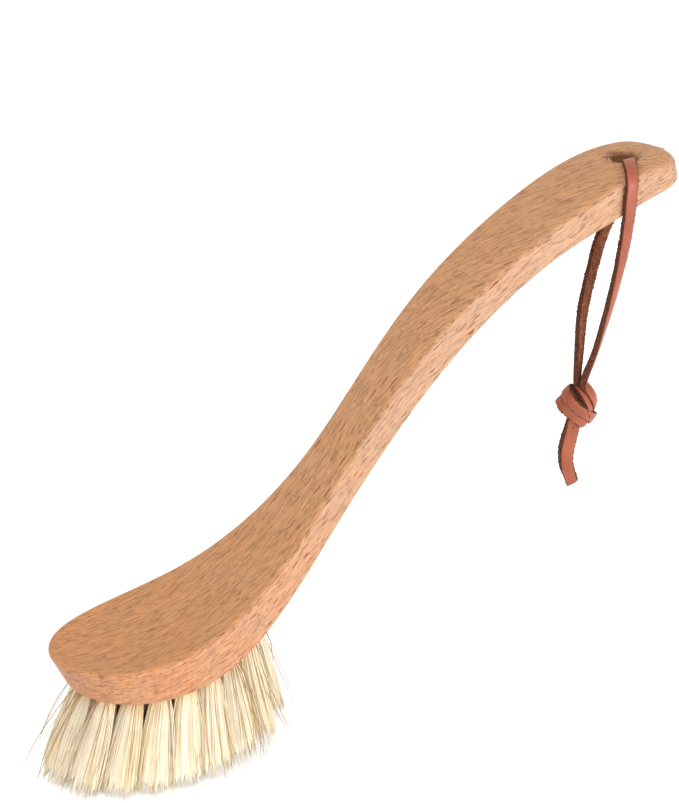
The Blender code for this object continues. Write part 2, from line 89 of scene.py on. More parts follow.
# What the settings of one kind share
COLOUR = {"subtype": "COLOR", "size": 4, "min": 0, "max": 1}
LENGTH = {"subtype": "DISTANCE", "unit": "LENGTH"}
SHARE = {"subtype": "FACTOR", "min": 0, "max": 1}
WATTS = {"subtype": "POWER", "unit": "POWER", "min": 0, "max": 100}
# Oiled wood, dry plant fibre, waxed leather and paper all lie near this
ORGANIC_IOR = 1.5

# Thong, in millimetres from the middle of the hanging hole's upper mouth
SWING_FRONT_MM = (-7.8, -14.7, -13.9)
SWING_BACK_MM = (-3.5, -2.1, -13.4)
BORE_MM = (0.1, -2, -5.6)
OVER_EDGE_MM = (
    BORE_MM, (0, -2.5, -3), (-0.4, -3.3, -1.2), (-1.4, -4.8, 0.55), (-2.7, -6.8, 1.4), (-4.1, -9.3, 1.45),
    (-5.5, -12.3, 0.4), (-6.5, -14.1, -1.8), (-7, -14.6, -4.9), (-7.3, -14.7, -8.6),
)
FRONT_STRAND_MM = (
    SWING_FRONT_MM, (-8.6, -13.6, -24.1), (-10.3, -12, -37.1), (-13, -10.2, -51.1), (-16, -8.7, -62.6),
    (-17.9, -8.3, -68.1), (-18.2, -8.2, -71),
)
UNDER_HOLE_MM = (BORE_MM, (-0.7, -2.1, -8.2), (-2, -2.1, -10.7))
BACK_STRAND_MM = (
    SWING_BACK_MM, (-7.7, -2.4, -20.1), (-13, -3.4, -33.7), (-16.6, -4.5, -45.9), (-18.1, -5.4, -58.4),
    (-18.8, -5.8, -68.1), (-18.9, -6, -71),
)
KNOT_CENTRE_MM = (-19.6, -7, -76.7)
FRONT_TAIL_MM = (
    (-21, -8.1, -81), (-22.1, -8.3, -85.5), (-23.3, -8.5, -89.7), (-23.7, -8.6, -94.1), (-22.9, -8.6, -98.7),
    (-21.5, -8.5, -102.5),
)
BACK_TAIL_MM = (
    (-19.7, -6, -81), (-20.9, -5.7, -85.3), (-22.3, -5.6, -89.7), (-22.7, -5.5, -94.1), (-22.1, -5.4, -97.5),
    (-21.3, -5.3, -99.9),
)
# The knot's doubled lace, seen from the front: millimetres to the right, away and up from its centre
KNOT_LINE_MM = (
    (1.1, 0.4, 6.4), (2.6, -1.4, 5.2), (4, -2.2, 2.4), (4.4, -0.8, -1), (3, 2.2, -2.2), (0, 3.6, -0.6),
    (-2.8, 2.6, 2.4), (-3.9, 0, 3.7), (-3.4, -2.6, 2.7), (-1.4, -3.9, 0.8), (1.4, -3.9, -1.6),
    (3.3, -2.2, -3.6), (3.4, 0.6, -4.8), (1.8, 1.6, -5.2), (-0.2, 0.2, -5.4), (-1.5, -0.9, -7),
)
# Along it: share of its length, how many millimetres each lace lies beside and above the middle of the two,
# and by how many degrees both roll
KNOT_LIE = (
    (0, 0.4, 0.6, 0), (0.1, 1.2, 0.4, 0), (0.2, 1.7, 0.25, 0), (0.4, 1.7, 0.25, 0), (0.5, 1.7, 0.35, 8),
    (0.66, 1.7, 0.35, 10), (0.78, 1.5, 0.3, 0), (0.9, 0.6, 0.6, 0), (1, 0.2, 0.7, 0),
)
KNOT_STEP = 0.35 * MM
KNOT_TIGHTNESS = 0.95
KNOT_CORE_MM = (4.2, 3.7, 6)
KNOT_CORE_STEPS = 24
# How much more the lace's face looks up above the knot's middle, and less down below it
KNOT_LOOK_UP, KNOT_LOOK_DOWN = 1.3, 0.6
KNOT_VIEW = math.radians(-30)
FRONT_TWIST = math.radians(60)
BACK_TWIST = math.radians(50)
FRONT_TWIST_POWER = 1
BACK_TWIST_POWER = 2
LACE_POINTS = 24
LACE_STEP = 0.4 * MM
LACE_SHARP = math.radians(60)
END_SLANT_LENGTH = 3 * MM
FRONT_END_SLANT = -0.3
BACK_END_SLANT = 0.2
# The lace is cut with soft corners: lower powers are squarer. Its edges begin at this share of its width, and
# its faces are a little crowned
WIDTH_POWER, THICKNESS_POWER = 0.42, 0.55
EDGE_FROM, EDGE_SOFTNESS = 0.78, 0.2
FACE_GAIN, LACE_CROWN = 1.4, 0.1
# How far the cut edges fray and the nap stands up, and how much the width waves over which lengths
EDGE_FRAY_MM, NAP_FRAY_MM = 0.11, 0.05
NAP_FROM, FRAY_IN_THICKNESS = -0.3, 0.6
WAVE, LONG_WAVE, SHORT_WAVE = 0.02, 3.1 * MM, 1.3 * MM
KNOT_RAWNESS = 1.5
THONG_SEED = 7
# The core counts halfway between a cut edge and the smooth face
CORE_RAWNESS, CORE_ROUGHNESS, CORE_SKIN, CORE_END = 2.0, 0.04, 0.5, 0.98

# Wooden body: the middle line of its upper face, and what it carries at even steps from tip to end
BODY_ARC = 256.2 * MM
SLOPES_DEG = (-2.8, 6.5, 22.9, 39.5, 49.5, 50.8, 44.9, 34.8, 27, 14.6, -15.1)
HALF_WIDTHS_MM = (28.3, 24.5, 20, 15, 11, 10.2, 11.3, 12.7, 13.7, 13.5, 9.9)
THICKNESSES_MM = (13.5, 13.6, 12.9, 10.7, 10.6, 11.4, 11.3, 10.3, 9.8, 10.8, 7.7)
TIP_ROUND = 47.1 * MM
END_ROUND = 11.5 * MM
TIP_LEAN = math.radians(26)
END_LEAN = math.radians(12)
TOP_EDGE_RADIUS = 1.9 * MM
LOWER_EDGE_RADIUS = 1.5 * MM
HANDLE_CROWN = 0.7 * MM
HEAD_SCOOP = 1.0 * MM
SCOOP_END = 0.36
TIP_STATIONS = 34
MIDDLE_STATIONS = 96
END_STATIONS = 26
EDGE_STEPS = 8
FACE_COLUMNS = 22
BODY_SHARP = math.radians(38)

# The plank's fibres rise towards the hand, and follow the body's bend only in part. On the upper face they
# drift sideways by these shares of their run
PLANK_ANGLE = math.radians(30)
FIBRE_DIP = 0.35
DRIFT_ARCS_MM = (0, 90, 115, 150, 175, 200, 235, 256)
DRIFTS = (0, 0, -0.08, 0.28, 0.55, 0.45, 0.3, 0.2)
# On the flank the figure changes less across the body than down it
ACROSS_SHARE = 0.32
# A face belongs to the flank as it turns from this share of level by the second share
LEVEL, LEVEL_FADE = 0.93, 0.5
# Places for finding the nearest stretch of the body: along its middle line and down through the wood
FIGURE_STEPS = 1000
DEPTH_STEPS = 5
DEPTH_STEP = 3 * MM

# Hanging hole: an upright bore whose mouths are softly dished
HOLE_ARC = 239.6 * MM
HOLE_RADIUS = 4.2 * MM
DISH_WIDTH = 2.3 * MM
DISH_DEPTH = 1.9 * MM
DISH_STEPS = 9
# Hand-cut waves in the dish: share of the bore's radius, how many there are round it, and where they start
DISH_WAVES = ((0.022, 3, 0.7), (0.014, 7, 2.1), (0.008, 13, 0))
HOLE_SIDES = 56
# The cutter reaches past the wood and flares out there
CUTTER_PLAY, CUTTER_FLARE, CUTTER_RISE = 0.1 * MM, 1.5 * MM, 1.6 * MM
# Round it, outside the bore: how far the painted shade of the hole, partly also the oil in its end grain,
#  darkens the wood and fades, less on the torn side; the ring of torn fibres in the upper mouth; and where
#  the flank's figure starts
SHADE_AND_OIL_REACH, SHADE_AND_OIL_FADE, SHADE_AND_OIL_SPARED = 1.7 * MM, 2.1 * MM, 0.5
TORN_MIDDLE, TORN_REACH, TORN_DEPTH, TORN_GAIN = 1.1 * MM, 1.7 * MM, 5 * MM, 1.6
FLANK_START, FLANK_FADE = 2 * MM, 1 * MM

# Tufts on the underside of the head, in two ovals, that lean outwards to the front, the rear and the sides
FIELD_CENTRE_X = 38 * MM
OUTER_RING = (26 * MM, 16 * MM)
INNER_RING = (16.5 * MM, 6.2 * MM)
OUTER_TUFTS = 17
INNER_TUFTS = 9
FRONT_TILT = math.radians(23)
REAR_TILT = math.radians(12)
SIDE_TILT = math.radians(9)
TUFT_HOLE_RADIUS = 2.5 * MM
TUFT_HOLE_DEPTH = 8.0 * MM
TUFT_HOLE_SIDES = 20
STRAND_LENGTH = 31.5 * MM
REAR_EXTRA_LENGTH = 4.0 * MM
TUFT_SHARP = math.radians(100)
TUFT_SEED = 26
# Away from the head's middle a tuft holds back this share of its opening
OUTER_HOLD = 0.35

# The closed inside of a tuft: its share of the tuft's width at the root and of its opening, how far its ribs
# reach and stand out, their tones, how high it ends, and the hollow in its end
INSIDE_RINGS = 9
INSIDE_SIDES = 64
INSIDE_ROOT = 0.95
INSIDE_SHARE = 0.96
INSIDE_OPENING_POWER = 0.85
RIB_REACH = (0.86, 1)
RIB_DEPTH = 0.035
RIB_TONES = (0.05, 0.5)
INSIDE_FLOOR = 1.5 * MM
HOLLOW_REACH, HOLLOW_WIDTH = 0.8, 0.5

# Single fibres: how they stand at the hole, draw into clumps, scatter, end, bend, taper and lie
FIBRE_RINGS = 6
FIBRE_SIDES = 4
GOLDEN_ANGLE = 2.39996
ANGLE_SCATTER = 0.3
ROOT_PACKING = 0.16
ROOT_DEPTH = 1.5 * MM
CLUMP_PLACES = (0.7, 1.05)
CLUMP_TONES, CLUMP_TONE = (0.8, 2.6), 0.7
FIBRE_TONES, FIBRE_TONE = (1, 3.5), 0.5
TIP_SCATTER = 0.3 * MM
LENGTH_SCATTER = (0.1 * MM, 1.1 * MM)
SHORT_SHARE = 0.14
SHORTER_BY_MM = (0.5, 6)
FLOOR_GAP = 0.15 * MM
FLOOR_SCATTER = 0.8 * MM
BOW = 0.5 * MM
OPENING_BOW = 0.12
WIDTH_SCATTER = (0.7, 1.25)
TAPER_AT, TAPER = (0, 0.75, 1), (1, 0.85, 0.35)
FIBRE_FLATNESS = 1.6
FIBRE_TURN = 0.35
# Those that stand away from their tuft
STRAY_SPREAD = (1.2, 1.85)
STRAY_BOW = 2.2
STRAY_THICKNESS = 0.7
STRAY_TONE = 2


def linear(hex_colour):
    """Linear colour of an sRGB hex value, with its alpha."""
    parts = [int(hex_colour[i:i + 2], 16) / 255 for i in (1, 3, 5)]
    return (*[c / 12.92 if c <= 0.04045 else ((c + 0.055) / 1.055) ** 2.4 for c in parts], 1.0)


def in_metres(*millimetres):
    return tuple(length * MM for length in millimetres)


def feed(made, inputs):
    """Gives each named input of a node a plain value, or the socket that feeds it."""
    for name, value in inputs.items():
        if isinstance(value, bpy.types.NodeSocket):
            made.id_data.links.new(value, made.inputs[name])
        else:
            made.inputs[name].default_value = value


def add_node(tree, kind, inputs=None, out=0, **settings):
    """One shader node with its settings and inputs. Returns one of its outputs, or all of them for None."""
    made = tree.nodes.new("ShaderNode" + kind)
    for name, value in settings.items():
        setattr(made, name, value)
    feed(made, inputs or {})
    return made.outputs if out is None else made.outputs[out]


def new_material(name, roughness, metallic=0.0):
    """A new material, the function that adds nodes to it, and its Principled shader with its plain values."""
    made = bpy.data.materials.new(name)
    made.use_nodes = True
    shader = made.node_tree.nodes["Principled BSDF"]
    feed(shader, {"Roughness": roughness, "Metallic": metallic})
    if not metallic:
        feed(shader, {"IOR": ORGANIC_IOR})
    return made, partial(add_node, made.node_tree), shader


def beech_material(look):
    """Beech, sanded and oiled. Its rays show as thin brown dashes where the plank's side is cut and as larger
    brown spindles on the upper face, its fibres as hairlines and its rings as soft upright bands round the
    head. The oil gives it a soft sheen. The upper face is darker than the flank and the hanging hole is
    darker inside, in both partly as painted shade and partly as oil, which is deepest in the hole's end
    grain."""
    made, node, shader = new_material("beech_sanded_oiled", 0.5)
    place = node("Attribute", out="Vector", attribute_name="wood_place")
    sawn = node("Attribute", out="Vector", attribute_name="sawn_place")
    zones = node("Attribute", out="Vector", attribute_name="zones")
    solid = node("TexCoord", out="Object")
    flank, bore, chip = node("SeparateXYZ", {0: zones}, None)
    arc = node("SeparateXYZ", {0: place})
    on_side = node("Math", {0: flank, 1: 0.5}, operation="GREATER_THAN")
    off_side = node("Math", {0: 1.0, 1: flank}, operation="SUBTRACT")
    run = node("Mix", {0: on_side, 4: place, 5: sawn}, 1, data_type="VECTOR")
    # The fibres wander by half a millimetre in 9 mm
    wander = node("TexNoise", {"Vector": run, "Scale": 110.0, "Detail": 1.0}, "Color")
    run = node("VectorMath", {0: wander, 1: in_metres(0, 1.8, 0.9), 2: run}, operation="MULTIPLY_ADD")

    # How steeply the upper face cuts the plank: most in the middle of the handle
    rising = node("MapRange", {0: arc, 1: 55 * MM, 2: 105 * MM}, interpolation_type="SMOOTHSTEP")
    falling = node("MapRange", {0: arc, 1: 175 * MM, 2: 215 * MM, 3: 1.0, 4: 0.25},
                   interpolation_type="SMOOTHSTEP")
    steep = node("Math", {0: rising, 1: falling}, operation="MULTIPLY")
    steep = node("Math", {0: steep, 1: off_side}, operation="MULTIPLY")

    # Pin knots: a few dark dots, 0.5 to 1 mm across
    pins = node("TexVoronoi", {"Vector": run, "Scale": 80.0})
    marks = node("MapRange", {0: pins, 1: 0.02, 2: 0.045, 3: 0.8, 4: 0.0})
    # Rays: dashes 2.7 mm by 0.37 mm, longer ones 4.3 mm by 0.4 mm, and spindles 3.9 mm by 0.5 mm on the upper
    # face. The finest real ones are 0.1 mm wide, too fine to show, so they are drawn wider. The end grain of
    # the head's rim shows few
    many = node("MapRange", {0: arc, 1: 12 * MM, 2: 60 * MM, 3: 0.25, 4: 1.0})
    many = node("Mix", {0: flank, 2: 0.7, 3: many})
    many = node("Math", {0: many, 1: look.rays}, operation="MULTIPLY")
    few = node("MapRange", {0: steep, 3: look.rays * 0.15, 4: look.rays})
    for cell, near, far, least, most in (
        ((5.5, 0.75, 0.75), 0.23, 0.26, 0.3, many), ((12, 1.1, 1.1), 0.17, 0.19, 0.3, many),
        ((10, 1.35, 1.35), 0.18, 0.21, 0.2, few),
    ):
        cells = node("Mapping", {"Vector": run, "Scale": in_metres(*cell)}, vector_type="TEXTURE")
        ray = node("TexVoronoi", {"Vector": cells, "Scale": 1.0, "Randomness": 1.0}, None)
        spot = node("MapRange", {0: ray["Distance"], 1: near, 2: far, 3: 1.0, 4: 0.0})
        chosen = node("SeparateColor", {0: ray["Color"]})
        strength = node("MapRange", {0: chosen, 1: least, 2: least + 0.4, 3: 0.0, 4: most})
        spot = node("Math", {0: spot, 1: strength}, operation="MULTIPLY")
        marks = node("Math", {0: marks, 1: spot}, operation="MAXIMUM")

    # Hairlines 6 mm by 0.4 mm, drawn four times as wide as real vessels, which are too fine to show; streaks
    # 12 mm by 1.3 mm; and short pale flecks where the cut is steep
    flecks = node("Math", {0: steep, 1: 0.07}, operation="MULTIPLY")
    value, noises = 1.0, []
    for vector, cell, detail, share in (
        (run, (6, 0.4, 0.4), 2.0, 0.2), (run, (12, 1.3, 1.3), 1.0, 0.05), (place, (1.1, 2.2, 4), 2.0, flecks),
    ):
        cells = node("Mapping", {"Vector": vector, "Scale": in_metres(*cell)}, vector_type="TEXTURE")
        noises.append(node("TexNoise", {"Vector": cells, "Scale": 1.0, "Detail": detail}))
        lines = node("MapRange", {0: noises[-1], 1: 0.32, 2: 0.68, 3: -1.0, 4: 1.0})
        value = node("Math", {0: lines, 1: share, 2: value}, operation="MULTIPLY_ADD")
    hairs = noises[0]

    # Pores: broken lines 0.25 mm wide, 1 to 4 mm long and 1 mm apart
    cells = node("Mapping", {"Vector": run, "Scale": in_metres(4.5, 0.9, 0.9)}, vector_type="TEXTURE")
    noise = node("TexNoise", {"Vector": cells, "Scale": 1.0, "Detail": 1.0}, "Color")
    noise = node("SeparateColor", {0: noise}, None)
    pore = node("Math", {0: noise[0], 1: 0.5}, operation="PINGPONG")
    pore = node("MapRange", {0: pore, 1: 0.43, 2: 0.48})
    broken = node("MapRange", {0: noise[1], 1: 0.44, 2: 0.56, 3: 0.0, 4: -0.32})

    # Growth rings: darker bands 3 to 5 mm apart that stand upright round the head's rim
    upright = node("Mapping", {"Vector": solid, "Scale": in_metres(7, 7, 60)}, vector_type="TEXTURE")
    rings = node("TexNoise", {"Vector": upright, "Scale": 1.0, "Detail": 1.0})
    ring = node("Math", {0: rings, 1: 0.07}, operation="PINGPONG")
    ring = node("MapRange", {0: ring, 1: 0.0, 2: 0.035, 3: 1.0, 4: 0.0})
    at_rim = node("MapRange", {0: arc, 1: 22 * MM, 2: 62 * MM, 3: -0.13, 4: 0.0})
    at_rim = node("Math", {0: at_rim, 1: flank}, operation="MULTIPLY")
    # The bore's darkening is painted shade inside the hanging hole, partly also the oil in its end grain
    for layer, amount in ((pore, broken), (ring, at_rim), (bore, -0.4)):
        value = node("Math", {0: layer, 1: amount, 2: value}, operation="MULTIPLY_ADD")

    # Colour: the upper face is darker than the flank, partly as painted shade for the weaker light on it and
    #  partly for the oil it takes up, and the head is the warmest, in clouds of 13 mm
    warm = node("MapRange", {0: arc, 1: 12 * MM, 2: 105 * MM, 3: 1.0, 4: 0.0})
    slow = node("TexNoise", {"Vector": run, "Scale": 75.0, "Detail": 2.0})
    blotch = node("MapRange", {0: slow, 1: 0.3, 2: 0.7, 3: -0.35, 4: 0.35})
    warm = node("Math", {0: warm, 1: blotch}, operation="ADD", use_clamp=True)
    side = node("Mix", {0: warm, 6: look.flank_colour, 7: look.rim_colour}, 2, data_type="RGBA")
    top = node("Mix", {0: warm, 6: look.top_colour_oil_and_shade, 7: look.head_colour}, 2, data_type="RGBA")
    wood = node("Mix", {0: flank, 6: top, 7: side}, 2, data_type="RGBA")
    wood = node("HueSaturation", {"Color": wood, "Value": value})
    wood = node("Mix", {0: marks, 6: wood, 7: look.ray_colour}, 2, data_type="RGBA")
    # Splinters 1 to 2 mm across where the drill broke out of the end grain
    torn = node("TexNoise", {"Vector": solid, "Scale": 650.0, "Detail": 3.0})
    torn = node("MapRange", {0: torn, 1: 0.52, 2: 0.6, 3: 0.0, 4: 0.8})
    torn = node("Math", {0: torn, 1: chip}, operation="MULTIPLY")
    wood = node("Mix", {0: torn, 6: wood, 7: look.torn_colour}, 2, data_type="RGBA")

    # The sanding leaves the hairlines and rays as a slight relief, and the dark hairlines glossier
    rough = node("MapRange", {0: hairs, 3: 0.44, 4: 0.62})
    relief = node("Math", {0: marks, 1: -0.7, 2: hairs}, operation="MULTIPLY_ADD")
    relief = node("Math", {0: torn, 1: -4.0, 2: relief}, operation="MULTIPLY_ADD")
    bump = node("Bump", {"Height": relief, "Strength": 0.4, "Distance": 0.09 * MM})
    feed(shader, {"Base Color": wood, "Roughness": rough, "Normal": bump})
    return made


def fibre_material(look):
    """Tampico, a dried and combed leaf fibre: straight and waxy, each fibre between cream and gold, golden
    brown near its root as painted shade where the bundle is packed under the head, and darker where it stands
    alone."""
    made, node, shader = new_material("tampico_fibre_combed", 0.4)
    tone = node("Attribute", out="Fac", attribute_name="tone")
    reach = node("Attribute", out="Fac", attribute_name="reach")
    colour = node("Mix", {0: tone, 6: look.cream, 7: look.gold}, 2, data_type="RGBA")
    # Painted shade: towards the root, where the bundle is packed under the head, the fibres turn golden brown
    root = node("MapRange", {0: reach, 1: 0.02, 2: 0.3, 3: 0.6, 4: 0.0}, interpolation_type="SMOOTHSTEP")
    colour = node("Mix", {0: root, 6: colour, 7: look.root_shade_colour}, 2, data_type="RGBA")
    # The fibres' tone runs past one for those that stand alone
    alone = node("MapRange", {0: tone, 1: 1.0, 2: STRAY_TONE})
    colour = node("Mix", {0: alone, 6: colour, 7: look.stray_colour}, 2, data_type="RGBA")
    # Light and dark lengths along a fibre, 4 mm apart
    solid = node("TexCoord", out="Object")
    knotty = node("TexNoise", {"Vector": solid, "Scale": 260.0, "Detail": 2.0})
    value = node("MapRange", {0: knotty, 1: 0.3, 2: 0.7, 3: 0.96, 4: 1.06})
    colour = node("HueSaturation", {"Color": colour, "Value": value})
    rough = node("MapRange", {0: knotty, 3: 0.34, 4: 0.5})
    feed(shader, {"Base Color": colour, "Roughness": rough})
    return made


def leather_material(look):
    """Vegetable-tanned leather cut into a lace: a smooth, waxed face that takes a soft pinkish light, dark
    raw cut edges, and a napped flesh side whose short fibres break up into speckles."""
    made, node, shader = new_material("leather_vegetable_tanned", 0.5)
    skin = node("Attribute", out="Fac", attribute_name="skin")
    lay = node("Attribute", out="Vector", attribute_name="lay")
    # Grain pores 0.8 mm apart and nap 0.9 mm by 0.4 mm, both drawn as coarse as they need to show
    pores = node("TexNoise", {"Vector": lay, "Scale": 1300.0, "Detail": 3.0})
    napped = node("Mapping", {"Vector": lay, "Scale": in_metres(0.9, 0.4, 0.4)}, vector_type="TEXTURE")
    nap = node("TexNoise", {"Vector": napped, "Scale": 1.0, "Detail": 4.0, "Roughness": 0.65})
    face = node("MapRange", {0: skin, 1: 0.15, 2: 0.75}, interpolation_type="SMOOTHSTEP")
    flesh = node("MapRange", {0: skin, 1: -0.3, 2: -0.8}, interpolation_type="SMOOTHSTEP")
    rough_side = node("Mix", {0: flesh, 6: look.edge_colour, 7: look.flesh_colour}, 2, data_type="RGBA")
    speckle = node("MapRange", {0: nap, 1: 0.4, 2: 0.62, 3: 0.5, 4: 1.8})
    rough_side = node("HueSaturation", {"Color": rough_side, "Value": speckle})
    # The tan lies in clouds 6 mm across
    cloud = node("TexNoise", {"Vector": lay, "Scale": 160.0, "Detail": 3.0})
    shade = node("MapRange", {0: cloud, 1: 0.3, 2: 0.7, 3: 0.82, 4: 1.14})
    smooth_side = node("HueSaturation", {"Color": look.face_colour, "Value": shade})
    colour = node("Mix", {0: face, 6: rough_side, 7: smooth_side}, 2, data_type="RGBA")
    rough = node("MapRange", {0: face, 3: 0.92, 4: 0.42})
    height = node("Mix", {0: face, 2: nap, 3: pores})
    depth = node("MapRange", {0: face, 3: 1.0, 4: 0.2})
    bump = node("Bump", {"Height": height, "Strength": depth, "Distance": 0.3 * MM})
    feed(shader, {"Base Color": colour, "Roughness": rough, "Normal": bump})
    return made


def wire_material():
    """Galvanised steel wire, rolled flat and cut to length: grey, with fine bright lines along it."""
    made, node, shader = new_material("steel_wire_galvanised", 0.38, metallic=1.0)
    solid = node("TexCoord", out="Object")
    # Drawing lines 0.15 mm apart
    lines = node("Mapping", {"Vector": solid, "Scale": in_metres(0.15, 4, 0.15)}, vector_type="TEXTURE")
    drawn = node("TexNoise", {"Vector": lines, "Scale": 1.0, "Detail": 2.0})
    zinc = node("Mix", {0: drawn, 6: linear("#8E9094"), 7: linear("#C3C5C8")}, 2, data_type="RGBA")
    rough = node("MapRange", {0: drawn, 3: 0.3, 4: 0.5})
    feed(shader, {"Base Color": zinc, "Roughness": rough})
    return made


def seen_by_camera(node):
    """One for the rays that show a surface to the camera, straight, in a gloss or through glass."""
    path = node("LightPath", out=None)
    seen = path["Is Camera Ray"]
    for ray in ("Is Glossy Ray", "Is Transmission Ray"):
        seen = node("Math", {0: seen, 1: path[ray]}, operation="MAXIMUM")
    return seen


def floor_material(look):
    """Matt white paper: it keeps the brush's soft shadow and reads as white to the camera."""
    made, node, shader = new_material("paper_matt_white", 0.95)
    lift = node("Math", {0: seen_by_camera(node), 1: look.floor_lift}, operation="MULTIPLY")
    feed(shader, {"Base Color": look.floor_colour, "Specular IOR Level": 0.0,
                  "Emission Color": WHITE, "Emission Strength": lift})
    return made


def smooth(places, values, wanted):
    """Natural cubic spline through the values, one column for each coordinate."""
    places = np.asarray(places, float)
    values = np.asarray(values, float).reshape(len(places), -1)
    count = len(places)
    step = np.diff(places)
    rows = np.eye(count)
    right = np.zeros_like(values)
    for i in range(1, count - 1):
        rows[i, i - 1:i + 2] = step[i - 1], 2 * (step[i - 1] + step[i]), step[i]
        right[i] = 6 * ((values[i + 1] - values[i]) / step[i] - (values[i] - values[i - 1]) / step[i - 1])
    bend = np.linalg.solve(rows, right)
    wanted = np.atleast_1d(np.asarray(wanted, float))
    i = np.clip(np.searchsorted(places, wanted) - 1, 0, count - 2)
    span = step[i][:, None]
    ahead = (places[i + 1] - wanted)[:, None] / span
    behind = 1 - ahead
    curve = ahead * values[i] + behind * values[i + 1]
    return curve + ((ahead ** 3 - ahead) * bend[i] + (behind ** 3 - behind) * bend[i + 1]) * span ** 2 / 6


def unit(vectors):
    return vectors / np.linalg.norm(vectors, axis=-1, keepdims=True)


def within(share):
    return min(max(share, 0), 1)


def ease(share):
    """A share from nought to one that starts and ends softly."""
    return share * share * (3 - 2 * share)


def added_up(steps):
    """The running sum of the steps, from nought."""
    return np.concatenate([[0], np.cumsum(steps)])


def walked(points):
    """The length walked along the points up to each."""
    return added_up(np.linalg.norm(np.diff(points, axis=0), axis=1))


def circle(count, shift=0.5):
    """Cosines and sines at even steps round a circle."""
    angle = (np.arange(count) + shift) * 2 * math.pi / count
    return np.cos(angle), np.sin(angle)


def along_body(values, arc):
    """A quantity given at even steps of the body, read at one or more arc lengths."""
    places = np.linspace(0, BODY_ARC, len(values))
    return smooth(places, values, np.clip(arc, 0, BODY_ARC))[:, 0]


def spine_table(steps=400):
    """Arc lengths, and the x and z of the upper face's middle line at each, from the slopes."""
    arc = np.linspace(0, BODY_ARC, steps)
    slope = np.radians(along_body(SLOPES_DEG, arc))
    middle = (slope[1:] + slope[:-1]) / 2
    return arc, added_up(np.cos(middle) * np.diff(arc)), added_up(np.sin(middle) * np.diff(arc))


SPINE = spine_table()


def spine_point(arc, y, depth):
    """Places along the body, across it and down from the upper face's line; the head's tip is at x = 0."""
    arc, y, depth = np.broadcast_arrays(np.asarray(arc, float), y, depth)
    tilt = TIP_LEAN + (END_LEAN - TIP_LEAN) * np.clip(arc / BODY_ARC, 0, 1)
    x = np.interp(arc, SPINE[0], SPINE[1]) + depth * np.sin(tilt)
    z = np.interp(arc, SPINE[0], SPINE[2]) - depth * np.cos(tilt)
    return np.stack([x, y, z], axis=-1)


# The frame's hinge lies halfway between the two places where the strands leave the wood
HINGE = np.array(frame["joints"][0]["pos_m"])
HOLE_MOUTH = HINGE - (np.array(SWING_FRONT_MM) + np.array(SWING_BACK_MM)) / 2 * MM
ORIGIN = HOLE_MOUTH - spine_point(HOLE_ARC, 0, 0)
LOOK_AT = ORIGIN + np.array(LOOK_AT_FROM_TIP)


def body_point(arc, y, depth):
    return spine_point(arc, y, depth) + ORIGIN


def thickness(arc):
    return along_body(THICKNESSES_MM, arc) * MM


def half_width(arc):
    """Half of the plan width, which closes to nothing in a round at each end."""
    full = along_body(HALF_WIDTHS_MM, arc) * MM
    for near_end, rounding in ((arc, TIP_ROUND), (BODY_ARC - arc, END_ROUND)):
        share = np.clip(1 - near_end / rounding, 0, 1)
        full = full * np.sqrt(1 - share ** 2)
    return full


def face_swell(arc, across):
    """Height of the upper face over its middle line: the head is scooped and the handle is crowned."""
    blend = ease(np.clip(arc / (SCOOP_END * BODY_ARC), 0, 1))
    return (blend * HANDLE_CROWN - (1 - blend) * HEAD_SCOOP) * (1 - across ** 2)


def apply_all(obj):
    """Puts the result of the object's modifiers into its mesh."""
    bpy.context.view_layer.update()
    graph = bpy.context.evaluated_depsgraph_get()
    done = bpy.data.meshes.new_from_object(obj.evaluated_get(graph), depsgraph=graph)
    obj.modifiers.clear()
    old = obj.data
    obj.data = done
    bpy.data.meshes.remove(old)


def new_object(name, points, faces, finish=None, sharp=math.radians(40)):
    """An object from points and faces, facing out, shaded smooth below the sharp angle."""
    data = bpy.data.meshes.new(name)
    data.from_pydata([tuple(p) for p in np.asarray(points, float)], [], faces)
    data.validate()
    data.shade_smooth()
    data.set_sharp_from_angle(angle=sharp)
    if finish:
        data.materials.append(finish)
    made = bpy.data.objects.new(name, data)
    bpy.context.scene.collection.objects.link(made)
    return made


def give(obj, name, values):
    """Stores one number or one vector at each vertex, for the material to read."""
    values = np.asarray(values, np.float32)
    kind, key = ("FLOAT", "value") if values.ndim == 1 else ("FLOAT_VECTOR", "vector")
    made = obj.data.attributes.new(name, kind, "POINT")
    made.data.foreach_set(key, values.ravel())


def ring_faces(count, rings, start=0):
    """Quads between neighbouring rings that have count points each."""
    faces = []
    for r in range(rings - 1):
        low, high = start + r * count, start + (r + 1) * count
        for i in range(count):
            j = (i + 1) % count
            faces.append((low + i, low + j, high + j, high + i))
    return faces


def tube_faces(count, rings, start=0, flipped=False):
    """Faces of a tube of rings, closed at both ends; flipped where its rings run the other way round."""
    last = start + (rings - 1) * count
    faces = ring_faces(count, rings, start)
    faces += [tuple(range(start + count - 1, start - 1, -1)), tuple(range(last, last + count))]
    return [face[::-1] for face in faces] if flipped else faces


